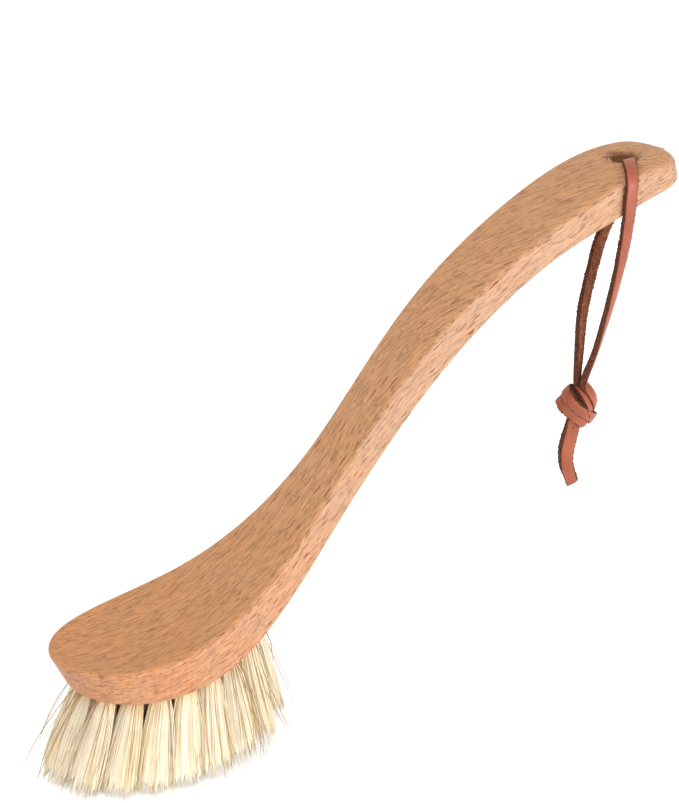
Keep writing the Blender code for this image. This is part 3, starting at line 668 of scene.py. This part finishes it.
def body_shape():
    """Points and faces of the wooden body: its plan outline, its bent profile and both rounded edges."""
    tip = TIP_ROUND * (1 - np.cos(np.linspace(0, math.pi / 2, TIP_STATIONS + 1)))
    end = BODY_ARC - END_ROUND * (1 - np.cos(np.linspace(math.pi / 2, 0, END_STATIONS + 1)))
    arcs = np.concatenate([tip, np.linspace(tip[-1], end[0], MIDDLE_STATIONS + 2)[1:-1], end])
    widths = half_width(arcs)
    widths[[0, -1]] = 0
    outline = np.concatenate([
        np.stack([arcs, widths], axis=1), np.stack([arcs, -widths], axis=1)[-2:0:-1],
    ])
    run = np.roll(outline, -1, axis=0) - np.roll(outline, 1, axis=0)
    outward = unit(np.stack([-run[:, 1], run[:, 0]], axis=1))
    points, count = [], len(outline)
    turns = np.linspace(0, math.pi / 2, EDGE_STEPS + 1)
    for turn in turns:
        inset = outline - outward * TOP_EDGE_RADIUS * (1 - math.sin(turn))
        points.append(body_point(inset[:, 0], inset[:, 1], TOP_EDGE_RADIUS * (1 - math.cos(turn))))
    for turn in turns:
        inset = outline - outward * LOWER_EDGE_RADIUS * (1 - math.cos(turn))
        deep = thickness(inset[:, 0]) - LOWER_EDGE_RADIUS * (1 - math.sin(turn))
        points.append(body_point(inset[:, 0], inset[:, 1], deep))
    faces = ring_faces(count, len(points))
    points = list(np.concatenate(points))
    half = count // 2
    lowest = len(points) - count
    for first, radius, upper in ((0, TOP_EDGE_RADIUS, True), (lowest, LOWER_EDGE_RADIUS, False)):
        inset = outline - outward * radius
        rows = []
        for i in range(1, half):
            arc, breadth = inset[i]
            across = 1 - 2 * np.arange(1, FACE_COLUMNS) / FACE_COLUMNS
            deep = -face_swell(arc, across) if upper else np.full(len(across), thickness(arc)[0])
            row = body_point(np.full(len(across), arc), breadth * across, deep)
            start = len(points)
            points.extend(row)
            rows.append([first + i, *range(start, start + len(across)), first + count - i])
        made = [(first, a, b) for a, b in zip(rows[0], rows[0][1:])]
        made += [(first + half, b, a) for a, b in zip(rows[-1], rows[-1][1:])]
        for row, following in zip(rows, rows[1:]):
            made += [(row[i], following[i], following[i + 1], row[i + 1]) for i in range(FACE_COLUMNS)]
        faces += [face[::-1] for face in made] if upper else made
    return np.array(points), faces


def hole_cutter():
    """The hanging hole with a soft, slightly uneven dish at each mouth."""
    top = body_point(HOLE_ARC, 0, 0)
    top[2] += HANDLE_CROWN
    foot = body_point(HOLE_ARC, 0, thickness(HOLE_ARC)[0])
    depth = top[2] - foot[2]
    dish = []
    for turn in np.linspace(0, math.pi / 2, DISH_STEPS):
        dish.append((HOLE_RADIUS + DISH_WIDTH * (1 - math.cos(turn)),
                     -DISH_DEPTH + (DISH_DEPTH + CUTTER_PLAY) * math.sin(turn)))
    profile = [(HOLE_RADIUS + DISH_WIDTH + CUTTER_FLARE, CUTTER_RISE), *dish[::-1]]
    profile += [(radius, -depth - z) for radius, z in profile[::-1]]
    angle = np.arange(HOLE_SIDES) * 2 * math.pi / HOLE_SIDES
    uneven = sum(share * np.sin(waves * angle + start) for share, waves, start in DISH_WAVES)
    points = []
    for radius, z in profile:
        wide = radius + uneven * HOLE_RADIUS * within((radius - HOLE_RADIUS) / DISH_WIDTH)
        ring = [wide * np.cos(angle), wide * np.sin(angle), np.full(HOLE_SIDES, z)]
        points.append(top + np.stack(ring, axis=1))
    return np.concatenate(points), tube_faces(HOLE_SIDES, len(points), flipped=True)


def ring_places(half_length, half_breadth, count):
    """Points at even steps round an oval, the first at its front, the rest in mirrored pairs."""
    turn = np.linspace(math.pi, 3 * math.pi, 2001)
    x, y = half_length * np.cos(turn), half_breadth * np.sin(turn)
    length = added_up(np.hypot(np.diff(x), np.diff(y)))
    wanted = np.arange(count) * length[-1] / count
    return list(zip(np.interp(wanted, length, x), np.interp(wanted, length, y)))


def tuft_axes():
    """(mouth, outward direction, strand length) of each tuft: they fan out from the middle of the field."""
    under = body_point(SPINE[0], 0, thickness(SPINE[0]))
    axes = []
    for ring, count in ((OUTER_RING, OUTER_TUFTS), (INNER_RING, INNER_TUFTS)):
        for x, y in ring_places(*ring, count):
            place = FIELD_CENTRE_X + x + ORIGIN[0]
            along = x / OUTER_RING[0]
            fore_aft = -FRONT_TILT + (FRONT_TILT + REAR_TILT) * (along + 1) / 2
            sideways = SIDE_TILT * y / OUTER_RING[1]
            direction = unit(np.array((math.tan(fore_aft), math.tan(sideways), -1)))
            length = STRAND_LENGTH + REAR_EXTRA_LENGTH * max(along, 0) ** 2
            mouth = np.array((place, y, np.interp(place, under[:, 0], under[:, 2])))
            axes.append((mouth, direction, length))
    return axes


def square_to(direction):
    """Two unit vectors square to the direction and to each other, the first lying across the head."""
    across = unit(np.array((0, 1, 0)) - direction * direction[1])
    return across, np.cross(direction, across)


def tuft_holes(axes):
    """All blind holes as one cutting shape, each drilled along its own tuft."""
    points, faces = [], []
    cosine, sine = circle(TUFT_HOLE_SIDES)
    for mouth, direction, _ in axes:
        across, along = square_to(direction)
        disc = np.outer(cosine, across) + np.outer(sine, along)
        faces += tube_faces(TUFT_HOLE_SIDES, 2, len(points))
        for reach in (-TUFT_HOLE_DEPTH, TUFT_HOLE_DEPTH):
            points.extend(mouth + direction * reach + disc * TUFT_HOLE_RADIUS)
    return np.array(points), faces


def wood_places(obj):
    """For each vertex of the body: its place in the figure of the upper face and in that of the flank, and
    how much it belongs to the flank, to the hanging hole and to the hole's torn rim."""
    arcs = np.linspace(0, BODY_ARC, FIGURE_STEPS)
    slopes = np.radians(along_body(SLOPES_DEG, arcs))
    spine = np.array([body_point(arc, 0, 0) for arc in arcs])
    tree = KDTree(len(arcs) * DEPTH_STEPS)
    for i, slope in enumerate(slopes):
        for step in range(DEPTH_STEPS):
            down = step * DEPTH_STEP
            place = (spine[i, 0] + down * math.sin(slope), 0, spine[i, 2] - down * math.cos(slope))
            tree.insert(place, i * DEPTH_STEPS + step)
    tree.balance()
    step = arcs[1]
    dip = np.cumsum(np.tan((slopes - PLANK_ANGLE) * FIBRE_DIP)) * step
    drift = np.cumsum(np.interp(arcs, [v * MM for v in DRIFT_ARCS_MM], DRIFTS)) * step
    places, sawn, zones = [], [], []
    for vert in obj.data.vertices:
        x, y, z = vert.co
        i = tree.find((x, 0, z))[1] // DEPTH_STEPS
        right, up = x - spine[i, 0], z - spine[i, 2]
        sine, cosine = math.sin(slopes[i]), math.cos(slopes[i])
        arc = arcs[i] + right * cosine + up * sine
        deep = right * sine - up * cosine
        places.append((arc, y + drift[i], deep))
        sawn.append((arc, deep - dip[i], y * ACROSS_SHARE))
        level = abs(vert.normal.z * cosine - vert.normal.x * sine)
        outside = math.hypot(x - HOLE_MOUTH[0], y - HOLE_MOUTH[1]) - HOLE_RADIUS
        flank = within((LEVEL - level) / LEVEL_FADE) * within((outside - FLANK_START) / FLANK_FADE)
        # Only the side of the upper mouth that faces the head is torn
        at_top = z > HOLE_MOUTH[2] - TORN_DEPTH
        torn_side = max((HOLE_MOUTH[0] - x) / max(outside + HOLE_RADIUS, MM), 0) if at_top else 0
        # Painted shade inside the hanging hole, partly also the oil soaked into its end grain
        bore = within((SHADE_AND_OIL_REACH - outside) / SHADE_AND_OIL_FADE) * (1 - SHADE_AND_OIL_SPARED * torn_side)
        torn = max(1 - abs(outside - TORN_MIDDLE) / TORN_REACH, 0) * torn_side
        zones.append((ease(flank), bore, min(torn * TORN_GAIN, 1)))
    return places, sawn, zones


def fibre_places(look, rng):
    """Where each fibre of a tuft stands at the hole, where its tip lies, its tone, and whether it strays."""
    count = look.fibres
    number = np.arange(count)
    radius = look.root_radius * ((number + 0.5) / count) ** ROOT_PACKING
    angle = number * GOLDEN_ANGLE + rng.uniform(-ANGLE_SCATTER, ANGLE_SCATTER, count)
    place = np.stack([radius * np.cos(angle), radius * np.sin(angle)], axis=1)
    turn = np.arange(look.clumps) * GOLDEN_ANGLE
    heads = np.stack([np.cos(turn), np.sin(turn)], axis=1)
    heads = heads * rng.uniform(*CLUMP_PLACES, (look.clumps, 1)) * look.root_radius
    nearest = np.argmin(np.linalg.norm(place[:, None] - heads[None], axis=2), axis=1)
    spread = place * (1 - look.clumping) + heads[nearest] * look.clumping
    spread = spread * look.flare + rng.normal(0, TIP_SCATTER, (count, 2))
    tone = rng.beta(*CLUMP_TONES, look.clumps)[nearest] * CLUMP_TONE
    tone = np.clip(tone + rng.beta(*FIBRE_TONES, count) * FIBRE_TONE, 0, 1)
    stray = rng.uniform(0, 1, count) < look.stray
    spread[stray] *= rng.uniform(*STRAY_SPREAD, (stray.sum(), 1))
    tone[stray] = STRAY_TONE
    return place, spread, tone, stray


def tuft_inside(axis, plane, away, look, rng):
    """The inside of a tuft: fibres so close that they read as one ribbed surface. Returns its points, and
    each point's tone and its share of the way down."""
    mouth, direction, length = axis
    # The last ring lies back inside the tuft, so that it ends in a hollow
    reach = np.array([*np.linspace(0, 1, INSIDE_RINGS - 1), HOLLOW_REACH])
    reach = np.outer(reach, rng.uniform(*RIB_REACH, INSIDE_SIDES))
    opened = INSIDE_ROOT + (look.flare * INSIDE_SHARE - 1) * reach ** INSIDE_OPENING_POWER
    opened = look.root_radius * opened * (1 + rng.normal(0, RIB_DEPTH, INSIDE_SIDES))
    opened[-1] *= HOLLOW_WIDTH
    ring = np.stack(circle(INSIDE_SIDES, 0), axis=1)
    held = opened * (1 - OUTER_HOLD * reach * np.maximum(ring @ away, 0))
    points = mouth - direction * ROOT_DEPTH + held[:, :, None] * (ring @ plane)
    points = points + reach[:, :, None] * (length + ROOT_DEPTH) * direction
    level = np.maximum(points[:, :, 2], INSIDE_FLOOR)
    points = points + direction * ((level - points[:, :, 2]) / direction[2])[:, :, None]
    tones = np.tile(rng.uniform(*RIB_TONES, INSIDE_SIDES), INSIDE_RINGS)
    return points.reshape(-1, 3), tones, reach.ravel()


def fibre_tuft(axis, look, rng):
    """One tuft: clumps of single fibres that fan out and end raggedly, round the closed inside of the bundle.

    Returns its points and faces, and each point's tone and its share of the way down its fibre.
    """
    mouth, direction, length = axis
    plane = np.stack(square_to(direction))
    place, spread, tone, stray = fibre_places(look, rng)
    count = len(place)
    away = plane @ (mouth - body_point(FIELD_CENTRE_X, 0, 0))
    away /= max(np.linalg.norm(away), MM)
    spread = spread - np.outer(np.where(stray, 0, OUTER_HOLD) * np.maximum(spread @ away, 0), away)

    start = mouth - direction * ROOT_DEPTH + place @ plane
    reach = length + rng.normal(*LENGTH_SCATTER, count)
    short = rng.uniform(0, 1, count) < SHORT_SHARE
    reach = np.where(short, reach - rng.uniform(*SHORTER_BY_MM, count) * MM, reach)
    tip = mouth + spread @ plane + np.outer(reach, direction)
    # No fibre reaches below the level that the brush stands on
    floor = np.abs(rng.normal(0, FLOOR_SCATTER, count)) + FLOOR_GAP
    level = np.maximum(tip[:, 2], floor)
    tip = start + (tip - start) * ((level - start[:, 2]) / (tip[:, 2] - start[:, 2]))[:, None]
    bow = rng.normal(0, BOW, (count, 2)) * np.where(stray, STRAY_BOW, 1)[:, None]
    # A bundle opens most just below its hole
    bow = (bow + (spread - place) * OPENING_BOW) @ plane

    share = np.linspace(0, 1, FIBRE_RINGS)
    middle = start[:, None] + (tip - start)[:, None] * share[:, None]
    middle = middle + bow[:, None] * (4 * share * (1 - share))[:, None]
    thick = look.fibre_width / 2 * rng.uniform(*WIDTH_SCATTER, count) * np.where(stray, STRAY_THICKNESS, 1)
    wide = thick[:, None] * np.interp(share, TAPER_AT, TAPER)
    # A fibre is flat, and its flat side faces out of the bundle
    out = unit(spread @ plane + 1e-9)
    out = unit(out + np.cross(direction, out) * rng.normal(0, FIBRE_TURN, (count, 1)))
    cosine, sine = circle(FIBRE_SIDES)
    sideways = np.cross(direction, out)
    disc = sideways[:, None] * (cosine * FIBRE_FLATNESS)[:, None] + out[:, None] * sine[:, None]
    points = middle[:, :, None] + wide[:, :, None, None] * disc[:, None]
    each = FIBRE_RINGS * FIBRE_SIDES
    pattern = np.array(tube_faces(FIBRE_SIDES, FIBRE_RINGS, flipped=True))
    faces = (pattern[None] + (np.arange(count) * each)[:, None, None]).reshape(-1, FIBRE_SIDES).tolist()

    inside, inside_tones, inside_reaches = tuft_inside(axis, plane, away, look, rng)
    points = np.concatenate([points.reshape(-1, 3), inside])
    faces += tube_faces(INSIDE_SIDES, INSIDE_RINGS, count * each, flipped=True)
    tones = np.concatenate([np.repeat(tone, each), inside_tones])
    reaches = np.concatenate([np.tile(np.repeat(share, FIBRE_SIDES), count), inside_reaches])
    return points, faces, tones, reaches


def from_hole(places):
    return HOLE_MOUTH + np.array(places, float) * MM


def even_path(route, step=LACE_STEP):
    """Even points on the smooth curve through the listed points, and the length up to each."""
    places = walked(route)
    count = round(places[-1] / step) + 1
    path = smooth(places, route, np.linspace(0, places[-1], count))
    return path, walked(path)


def lace_strip(path, towards, look, rng, size=1.0, slant=0.0, raw=1.0):
    """A strip of leather along a path, its width turned towards the given directions. Its last end may be
    cut at a slant, and raw says how wavy and frayed it is.

    Returns its rings of points, how much each point belongs to the smooth face (1), the cut edge (0) or the
    flesh side (-1), and its place along and across the leather.
    """
    count = len(path)
    tangent = unit(np.gradient(path, axis=0))
    width = unit(towards - tangent * np.sum(tangent * towards, axis=1)[:, None])
    depth = np.cross(tangent, width)
    half_w, half_t = look.lace_width / 2 * size, look.lace_thickness / 2 * size
    cosine, sine = circle(LACE_POINTS)
    across = np.sign(cosine) * np.abs(cosine) ** WIDTH_POWER
    over = np.sign(sine) * np.abs(sine) ** THICKNESS_POWER
    edge = np.clip((np.abs(across) - EDGE_FROM) / EDGE_SOFTNESS, 0, 1)
    skin = np.where(over > 0, 1, -1) * (1 - edge) * np.clip(np.abs(over) * FACE_GAIN, 0, 1)
    # The knife leaves the edges a little wavy and frayed, and the flesh side lies less flat than the face
    loose = EDGE_FRAY_MM * edge + NAP_FRAY_MM * (skin < NAP_FROM)
    fray = rng.normal(0, 1, (count, LACE_POINTS)) * loose[None] * MM * raw
    length = walked(path)
    wavy = 1 + WAVE * raw * (np.sin(length / LONG_WAVE) + np.sin(length / SHORT_WAVE + 1))
    flat_w = across[None] * half_w * wavy[:, None] + fray * np.sign(across)[None]
    flat_t = over[None] * half_t * (1 + LACE_CROWN * (1 - across[None] ** 2))
    flat_t = flat_t + fray * np.sign(over)[None] * FRAY_IN_THICKNESS
    rings = path[:, None] + width[:, None] * flat_w[:, :, None] + depth[:, None] * flat_t[:, :, None]
    if slant:
        near_end = np.clip((length - length[-1]) / END_SLANT_LENGTH + 1, 0, 1)
        rings += tangent[:, None] * (flat_w * slant * near_end[:, None])[:, :, None]
    lay = np.stack([np.broadcast_to(length[:, None], flat_w.shape), flat_w, flat_t], axis=-1)
    return rings, np.tile(skin, count), lay.reshape(-1, 3)


def strip_object(name, strips, finish):
    """One object from one or more strips, each closed at both ends."""
    rings, skins, lays = zip(*strips)
    faces = []
    total = 0
    for strip in rings:
        faces += tube_faces(LACE_POINTS, len(strip), total)
        total += len(strip) * LACE_POINTS
    made = new_object(name, np.concatenate(rings).reshape(-1, 3), faces, finish, LACE_SHARP)
    give(made, "skin", np.concatenate(skins))
    give(made, "lay", np.concatenate(lays))
    return made


def strand_path(before, strand, twist, power, side):
    """The path of one lace, the direction of its width, which turns once it hangs free, and its length."""
    path, length = even_path(from_hole(before + strand))
    swing = np.argmin(np.linalg.norm(path - from_hole(strand[0]), axis=1))
    share = np.clip((length - length[swing]) / (length[-1] - length[swing]), 0, 1)
    turn = twist * share ** power
    towards = np.stack([np.cos(turn), np.sin(turn), np.zeros(len(turn))], axis=1)
    return path, towards * side, length[-1]


def knot_frame():
    """The knot's right, away and up directions, and its centre."""
    right = np.array((math.cos(KNOT_VIEW), math.sin(KNOT_VIEW), 0))
    away = np.array((-math.sin(KNOT_VIEW), math.cos(KNOT_VIEW), 0))
    return np.stack([right, away, np.array((0, 0, 1))]), from_hole(KNOT_CENTRE_MM)


def knot_strips(look, rng):
    """The overhand knot: both laces lie on each other and go round and through their own loop."""
    axes, centre = knot_frame()
    path, length = even_path(np.array(KNOT_LINE_MM) * MM @ axes + centre, KNOT_STEP)
    tangent = unit(np.gradient(path, axis=0))
    # The smooth face looks away from the knot's middle
    out = path - centre
    out[:, 2] *= np.where(out[:, 2] > 0, KNOT_LOOK_UP, KNOT_LOOK_DOWN)
    out = unit(out - tangent * np.sum(out * tangent, axis=1)[:, None])
    lie = np.array(KNOT_LIE)
    beside, stacked, roll = [np.interp(length / length[-1], lie[:, 0], lie[:, i]) for i in (1, 2, 3)]
    roll = np.radians(roll)[:, None]
    width = np.cross(out, tangent)
    towards = width * np.cos(roll) + out * np.sin(roll)
    depth = np.cross(tangent, towards)
    strips = []
    for side in (1, -1):
        offset = (depth * stacked[:, None] + towards * beside[:, None]) * side * MM
        strips.append(lace_strip(path + offset, towards, look, rng, KNOT_TIGHTNESS, raw=KNOT_RAWNESS))
    return strips


def knot_core(look, rng):
    """What shows between the turns: the crumpled lace drawn tight inside the knot."""
    axes, centre = knot_frame()
    half = np.array(KNOT_CORE_MM) * MM
    height = np.linspace(-CORE_END, CORE_END, KNOT_CORE_STEPS)
    path = centre + np.outer(height * half[2], axes[2])
    _, skin, lay = lace_strip(path, np.tile(axes[0], (len(path), 1)), look, rng, raw=CORE_RAWNESS)
    cosine, sine = circle(LACE_POINTS)
    swell = np.sqrt(1 - height ** 2)[:, None, None]
    disc = np.outer(cosine, axes[0]) * half[0] + np.outer(sine, axes[1]) * half[1]
    rough = rng.normal(0, CORE_ROUGHNESS, (len(path), LACE_POINTS, 1))
    return path[:, None] + swell * disc[None] * (1 + rough), np.full(len(skin), CORE_SKIN), lay


def add_piece(obj, body, node):
    """Puts a piece on its body and lets it stand for its CAD node."""
    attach(obj, body)
    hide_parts(node)


class WoodLook(bpy.types.PropertyGroup):
    """Colours of the wooden body"""

    # Painted shade in part: the upper face is set darker than the flank for the weaker light on it, and in
    # part for the oil it takes up
    top_colour_oil_and_shade: FloatVectorProperty(
        name="Upper face", description="Colour of the handle's upper face, which takes up more oil",
        default=linear("#CA9364"), **COLOUR)
    head_colour: FloatVectorProperty(
        name="Head's upper face", description="Colour of the upper face where the head has soaked up water",
        default=linear("#CC8C56"), **COLOUR)
    flank_colour: FloatVectorProperty(
        name="Flank", description="Colour of the side faces", default=linear("#CA9C7A"), **COLOUR)
    rim_colour: FloatVectorProperty(
        name="Head's rim", description="Colour of the head's end grain", default=linear("#D19063"), **COLOUR)
    ray_colour: FloatVectorProperty(
        name="Ray colour", description="Colour of the dashes in the wood",
        default=linear("#8A481A"), **COLOUR)
    rays: FloatProperty(name="Rays", description="How strongly the rays stand out", default=0.95, **SHARE)
    torn_colour: FloatVectorProperty(
        name="Torn grain", description="Colour of the splintered rim of the hanging hole",
        default=linear("#5E341B"), **COLOUR)


class TuftLook(bpy.types.PropertyGroup):
    """Fibres of the tufts"""

    fibres: IntProperty(name="Fibres", description="Fibres in one tuft", default=170, min=20, max=400)
    clumps: IntProperty(name="Clumps", description="Clumps in one tuft", default=16, min=1, max=60)
    clumping: FloatProperty(
        name="Clumping", description="How far the tips of a clump draw together", default=0.4, **SHARE)
    root_radius: FloatProperty(
        name="Root radius", description="Radius of a tuft at its hole",
        default=2.35 * MM, min=1 * MM, max=TUFT_HOLE_RADIUS, **LENGTH)
    flare: FloatProperty(
        name="Flare", description="How many times wider a tuft is at its tips than at its root",
        default=2.5, min=1, max=4)
    stray: FloatProperty(
        name="Stray fibres", description="Share of the fibres that stand away from their tuft",
        default=0.06, **SHARE)
    fibre_width: FloatProperty(
        name="Fibre width", description="Thickness of one fibre, which is wider than it is thick",
        default=0.34 * MM, min=0.1 * MM, max=1 * MM, **LENGTH)
    cream: FloatVectorProperty(
        name="Cream", description="Colour of the palest fibres", default=linear("#FFF6E0"), **COLOUR)
    gold: FloatVectorProperty(
        name="Gold", description="Colour of the most golden fibres", default=linear("#FBE0AE"), **COLOUR)
    stray_colour: FloatVectorProperty(
        name="Stray", description="Colour of the fibres that stand away from their tuft",
        default=linear("#B8986A"), **COLOUR)
    # Painted shade near the root, where the bundle is packed under the head
    root_shade_colour: FloatVectorProperty(
        name="Root", description="Colour of the fibres where they are packed at the root",
        default=linear("#E6B76E"), **COLOUR)


class ThongLook(bpy.types.PropertyGroup):
    """Size and colours of the leather thong"""

    lace_width: FloatProperty(
        name="Lace width", description="Width of the flat lace",
        default=4 * MM, min=2 * MM, max=4.2 * MM, **LENGTH)
    lace_thickness: FloatProperty(
        name="Lace thickness", description="Thickness of the leather",
        default=2 * MM, min=1 * MM, max=2.2 * MM, **LENGTH)
    face_colour: FloatVectorProperty(
        name="Face", description="Colour of the smooth face", default=linear("#A65638"), **COLOUR)
    edge_colour: FloatVectorProperty(
        name="Cut edge", description="Colour of the raw edge", default=linear("#5A2E1A"), **COLOUR)
    flesh_colour: FloatVectorProperty(
        name="Flesh side", description="Colour of the napped back", default=linear("#7E462B"), **COLOUR)


class StageLook(bpy.types.PropertyGroup):
    """Floor, lamps and surroundings"""

    floor_colour: FloatVectorProperty(
        name="Floor", description="Colour of the floor", default=linear("#F2F2F2"), **COLOUR)
    floor_lift: FloatProperty(
        name="Floor lift", description="Light that the floor adds for the camera alone", default=0.5, **SHARE)
    key_watts: FloatProperty(
        name="Key lamp", description="Power of the lamp at the front right", default=8.4, **WATTS)
    fill_watts: FloatProperty(
        name="Fill lamp", description="Power of the lamp at the front left", default=2.3, **WATTS)
    top_watts: FloatProperty(name="Top lamp", description="Power of the lamp overhead", default=3.9, **WATTS)
    surroundings: FloatProperty(
        name="Surroundings", description="Strength of the even light from all round",
        default=0.68, min=0, max=2)


class BrushLook(bpy.types.PropertyGroup):
    """All settings of the dish brush"""

    wood: PointerProperty(name="Wood", description="Looks of the beech body", type=WoodLook)
    tufts: PointerProperty(name="Tufts", description="Make and looks of the tufts", type=TuftLook)
    thong: PointerProperty(name="Thong", description="Size and looks of the thong", type=ThongLook)
    stage: PointerProperty(name="Stage", description="Floor, lamps and surroundings", type=StageLook)


class DISHBRUSH_OT_camera(bpy.types.Operator):
    """Sets the camera at the near left side, above the brush"""

    bl_idname = "dishbrush.camera"
    bl_label = "Camera"

    def execute(self, context):
        level = math.cos(ELEVATION)
        back = Vector((math.sin(AZIMUTH) * level, -math.cos(AZIMUTH) * level, math.sin(ELEVATION)))
        right = Vector((math.cos(AZIMUTH), math.sin(AZIMUTH), 0))
        up = back.cross(right)
        lens = bpy.data.cameras.new("camera")
        lens.sensor_width = SENSOR_MM
        lens.lens = LENS_MM
        lens.shift_x, lens.shift_y = SHIFT
        lens.clip_start = NEAREST
        eye = bpy.data.objects.new("camera", lens)
        turn = Matrix((right, up, back)).transposed().to_4x4()
        eye.matrix_world = Matrix.Translation(Vector(LOOK_AT) + back * DISTANCE) @ turn
        context.scene.collection.objects.link(eye)
        context.scene.camera = eye
        return {"FINISHED"}


class DISHBRUSH_OT_thong(bpy.types.Operator):
    """Threads the leather lace through the hole, knots it and leaves its two ends loose"""

    bl_idname = "dishbrush.thong"
    bl_label = "Leather thong"

    def execute(self, context):
        look = context.scene.dish_brush.thong
        rng = np.random.default_rng(THONG_SEED)
        leather = leather_material(look)
        knot = strip_object("thong_overhand_knot", [*knot_strips(look, rng), knot_core(look, rng)], leather)
        add_piece(knot, "thong", "thong_knot")
        for name, route, slant, turn in (
            ("front", FRONT_TAIL_MM, FRONT_END_SLANT, KNOT_VIEW),
            ("back", BACK_TAIL_MM, BACK_END_SLANT, KNOT_VIEW + math.pi),
        ):
            path, _ = even_path(from_hole(route))
            towards = np.tile((math.cos(turn), math.sin(turn), 0), (len(path), 1))
            strip = lace_strip(path, towards, look, rng, slant=slant)
            tail = strip_object(f"thong_{name}_end", [strip], leather)
            add_piece(tail, "thong", f"thong_{name}_tail")
        for name, before, strand, twist, power, side, nodes in (
            ("front", OVER_EDGE_MM, FRONT_STRAND_MM, FRONT_TWIST, FRONT_TWIST_POWER, 1,
             ("thong_bight", "thong_front_strand")),
            ("back", UNDER_HOLE_MM, BACK_STRAND_MM, BACK_TWIST, BACK_TWIST_POWER, -1,
             ("thong_back_strand",)),
        ):
            path, towards, length = strand_path(before, strand, twist, power, side)
            lace = strip_object(f"thong_{name}_lace", [lace_strip(path, towards, look, rng)], leather)
            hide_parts(*nodes)
            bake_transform(lace)
        return {"FINISHED"}


class DISHBRUSH_OT_body(bpy.types.Operator):
    """Shapes the beech body with its hanging hole and the blind holes for the tufts"""

    bl_idname = "dishbrush.body"
    bl_label = "Beech body"

    def execute(self, context):
        beech = beech_material(context.scene.dish_brush.wood)
        body = new_object("brush_body", *body_shape(), beech)
        cutters = [
            new_object("hanging_hole_cutter", *hole_cutter()),
            new_object("tuft_holes_cutter", *tuft_holes(tuft_axes())),
        ]
        for cutter in cutters:
            cut = body.modifiers.new(cutter.name, "BOOLEAN")
            cut.operation = "DIFFERENCE"
            cut.object = cutter
        apply_all(body)
        for cutter in cutters:
            bpy.data.objects.remove(cutter)
        if not len(body.data.vertices):
            raise RuntimeError("the body is empty after its holes were cut")
        body.data.shade_smooth()
        body.data.set_sharp_from_angle(angle=BODY_SHARP)
        for name, values in zip(("wood_place", "sawn_place", "zones"), wood_places(body)):
            give(body, name, values)
        shading = body.modifiers.new("shading", "WEIGHTED_NORMAL")
        shading.keep_sharp = True
        add_piece(body, "brush", "beech_body")
        return {"FINISHED"}


class DISHBRUSH_OT_tufts(bpy.types.Operator):
    """Fills each hole of the head with a tuft of single fibres"""

    bl_idname = "dishbrush.tufts"
    bl_label = "Tufts"

    def execute(self, context):
        look = context.scene.dish_brush.tufts
        fibre = fibre_material(look)
        rng = np.random.default_rng(TUFT_SEED)
        for number, axis in enumerate(tuft_axes(), start=1):
            points, faces, tones, reaches = fibre_tuft(axis, look, rng)
            tuft = new_object(f"fibre_tuft_{number:02d}", points, faces, fibre, TUFT_SHARP)
            give(tuft, "tone", tones)
            give(tuft, "reach", reaches)
            add_piece(tuft, "brush", f"tuft_{number:02d}")
        return {"FINISHED"}


class DISHBRUSH_OT_anchors(bpy.types.Operator):
    """Gives the wire anchors in the head their metal"""

    bl_idname = "dishbrush.anchors"
    bl_label = "Wire anchors"

    def execute(self, context):
        wire = wire_material()
        for name, obj in frame["nodes"].items():
            if name.startswith("anchor_"):
                for held in obj.material_slots:
                    held.material = wire
        return {"FINISHED"}


class DISHBRUSH_OT_stage(bpy.types.Operator):
    """Lays the floor and sets the lamps and the even light from all round"""

    bl_idname = "dishbrush.stage"
    bl_label = "Floor and lamps"

    def execute(self, context):
        look = context.scene.dish_brush.stage
        corners = [(x * FLOOR_REACH, y * FLOOR_REACH, 0) for x, y in ((-1, -1), (1, -1), (1, 1), (-1, 1))]
        new_object("floor", corners, [(0, 1, 2, 3)], floor_material(look))
        for name, (place, size), watts in (
            ("key_lamp", KEY_LAMP, look.key_watts), ("fill_lamp", FILL_LAMP, look.fill_watts),
            ("top_lamp", TOP_LAMP, look.top_watts),
        ):
            lamp = bpy.data.lights.new(name, "AREA")
            lamp.shape = "ELLIPSE"
            lamp.size, lamp.size_y = size
            lamp.energy = watts
            holder = bpy.data.objects.new(name, lamp)
            away = Vector(place) - Vector(LOOK_AT)
            holder.location = place
            holder.rotation_euler = away.to_track_quat("Z", "Y").to_euler()
            context.scene.collection.objects.link(holder)
        world = bpy.data.worlds.new("surroundings")
        world.use_nodes = True
        # The camera and the gloss see the surroundings as white
        node = partial(add_node, world.node_tree)
        strength = node("MapRange", {0: seen_by_camera(node), 3: look.surroundings, 4: 1.0})
        feed(world.node_tree.nodes["Background"], {"Color": WHITE, "Strength": strength})
        context.scene.world = world
        context.scene.view_settings.view_transform = "Standard"
        return {"FINISHED"}


OPERATORS = (
    DISHBRUSH_OT_camera, DISHBRUSH_OT_thong, DISHBRUSH_OT_body, DISHBRUSH_OT_tufts, DISHBRUSH_OT_anchors,
    DISHBRUSH_OT_stage,
)


class DISHBRUSH_PT_panel(bpy.types.Panel):
    """Lists the steps that build the dish brush"""

    bl_idname = "DISHBRUSH_PT_panel"
    bl_label = "Dish brush"
    bl_space_type = "VIEW_3D"
    bl_region_type = "UI"
    bl_category = "Dish brush"

    def draw(self, context):
        for operator in OPERATORS:
            self.layout.operator(operator.bl_idname)


CLASSES = (WoodLook, TuftLook, ThongLook, StageLook, BrushLook, *OPERATORS, DISHBRUSH_PT_panel)


def register():
    for made in CLASSES:
        bpy.utils.register_class(made)
    bpy.types.Scene.dish_brush = PointerProperty(
        name="Dish brush", description="All settings of the dish brush", type=BrushLook)


def unregister():
    del bpy.types.Scene.dish_brush
    for made in reversed(CLASSES):
        bpy.utils.unregister_class(made)


def main():
    register()
    bpy.ops.dishbrush.camera()
    bpy.ops.dishbrush.thong()
    bpy.ops.dishbrush.body()
    bpy.ops.dishbrush.tufts()
    bpy.ops.dishbrush.anchors()
    bpy.ops.dishbrush.stage()


if __name__ == "__main__":
    main()
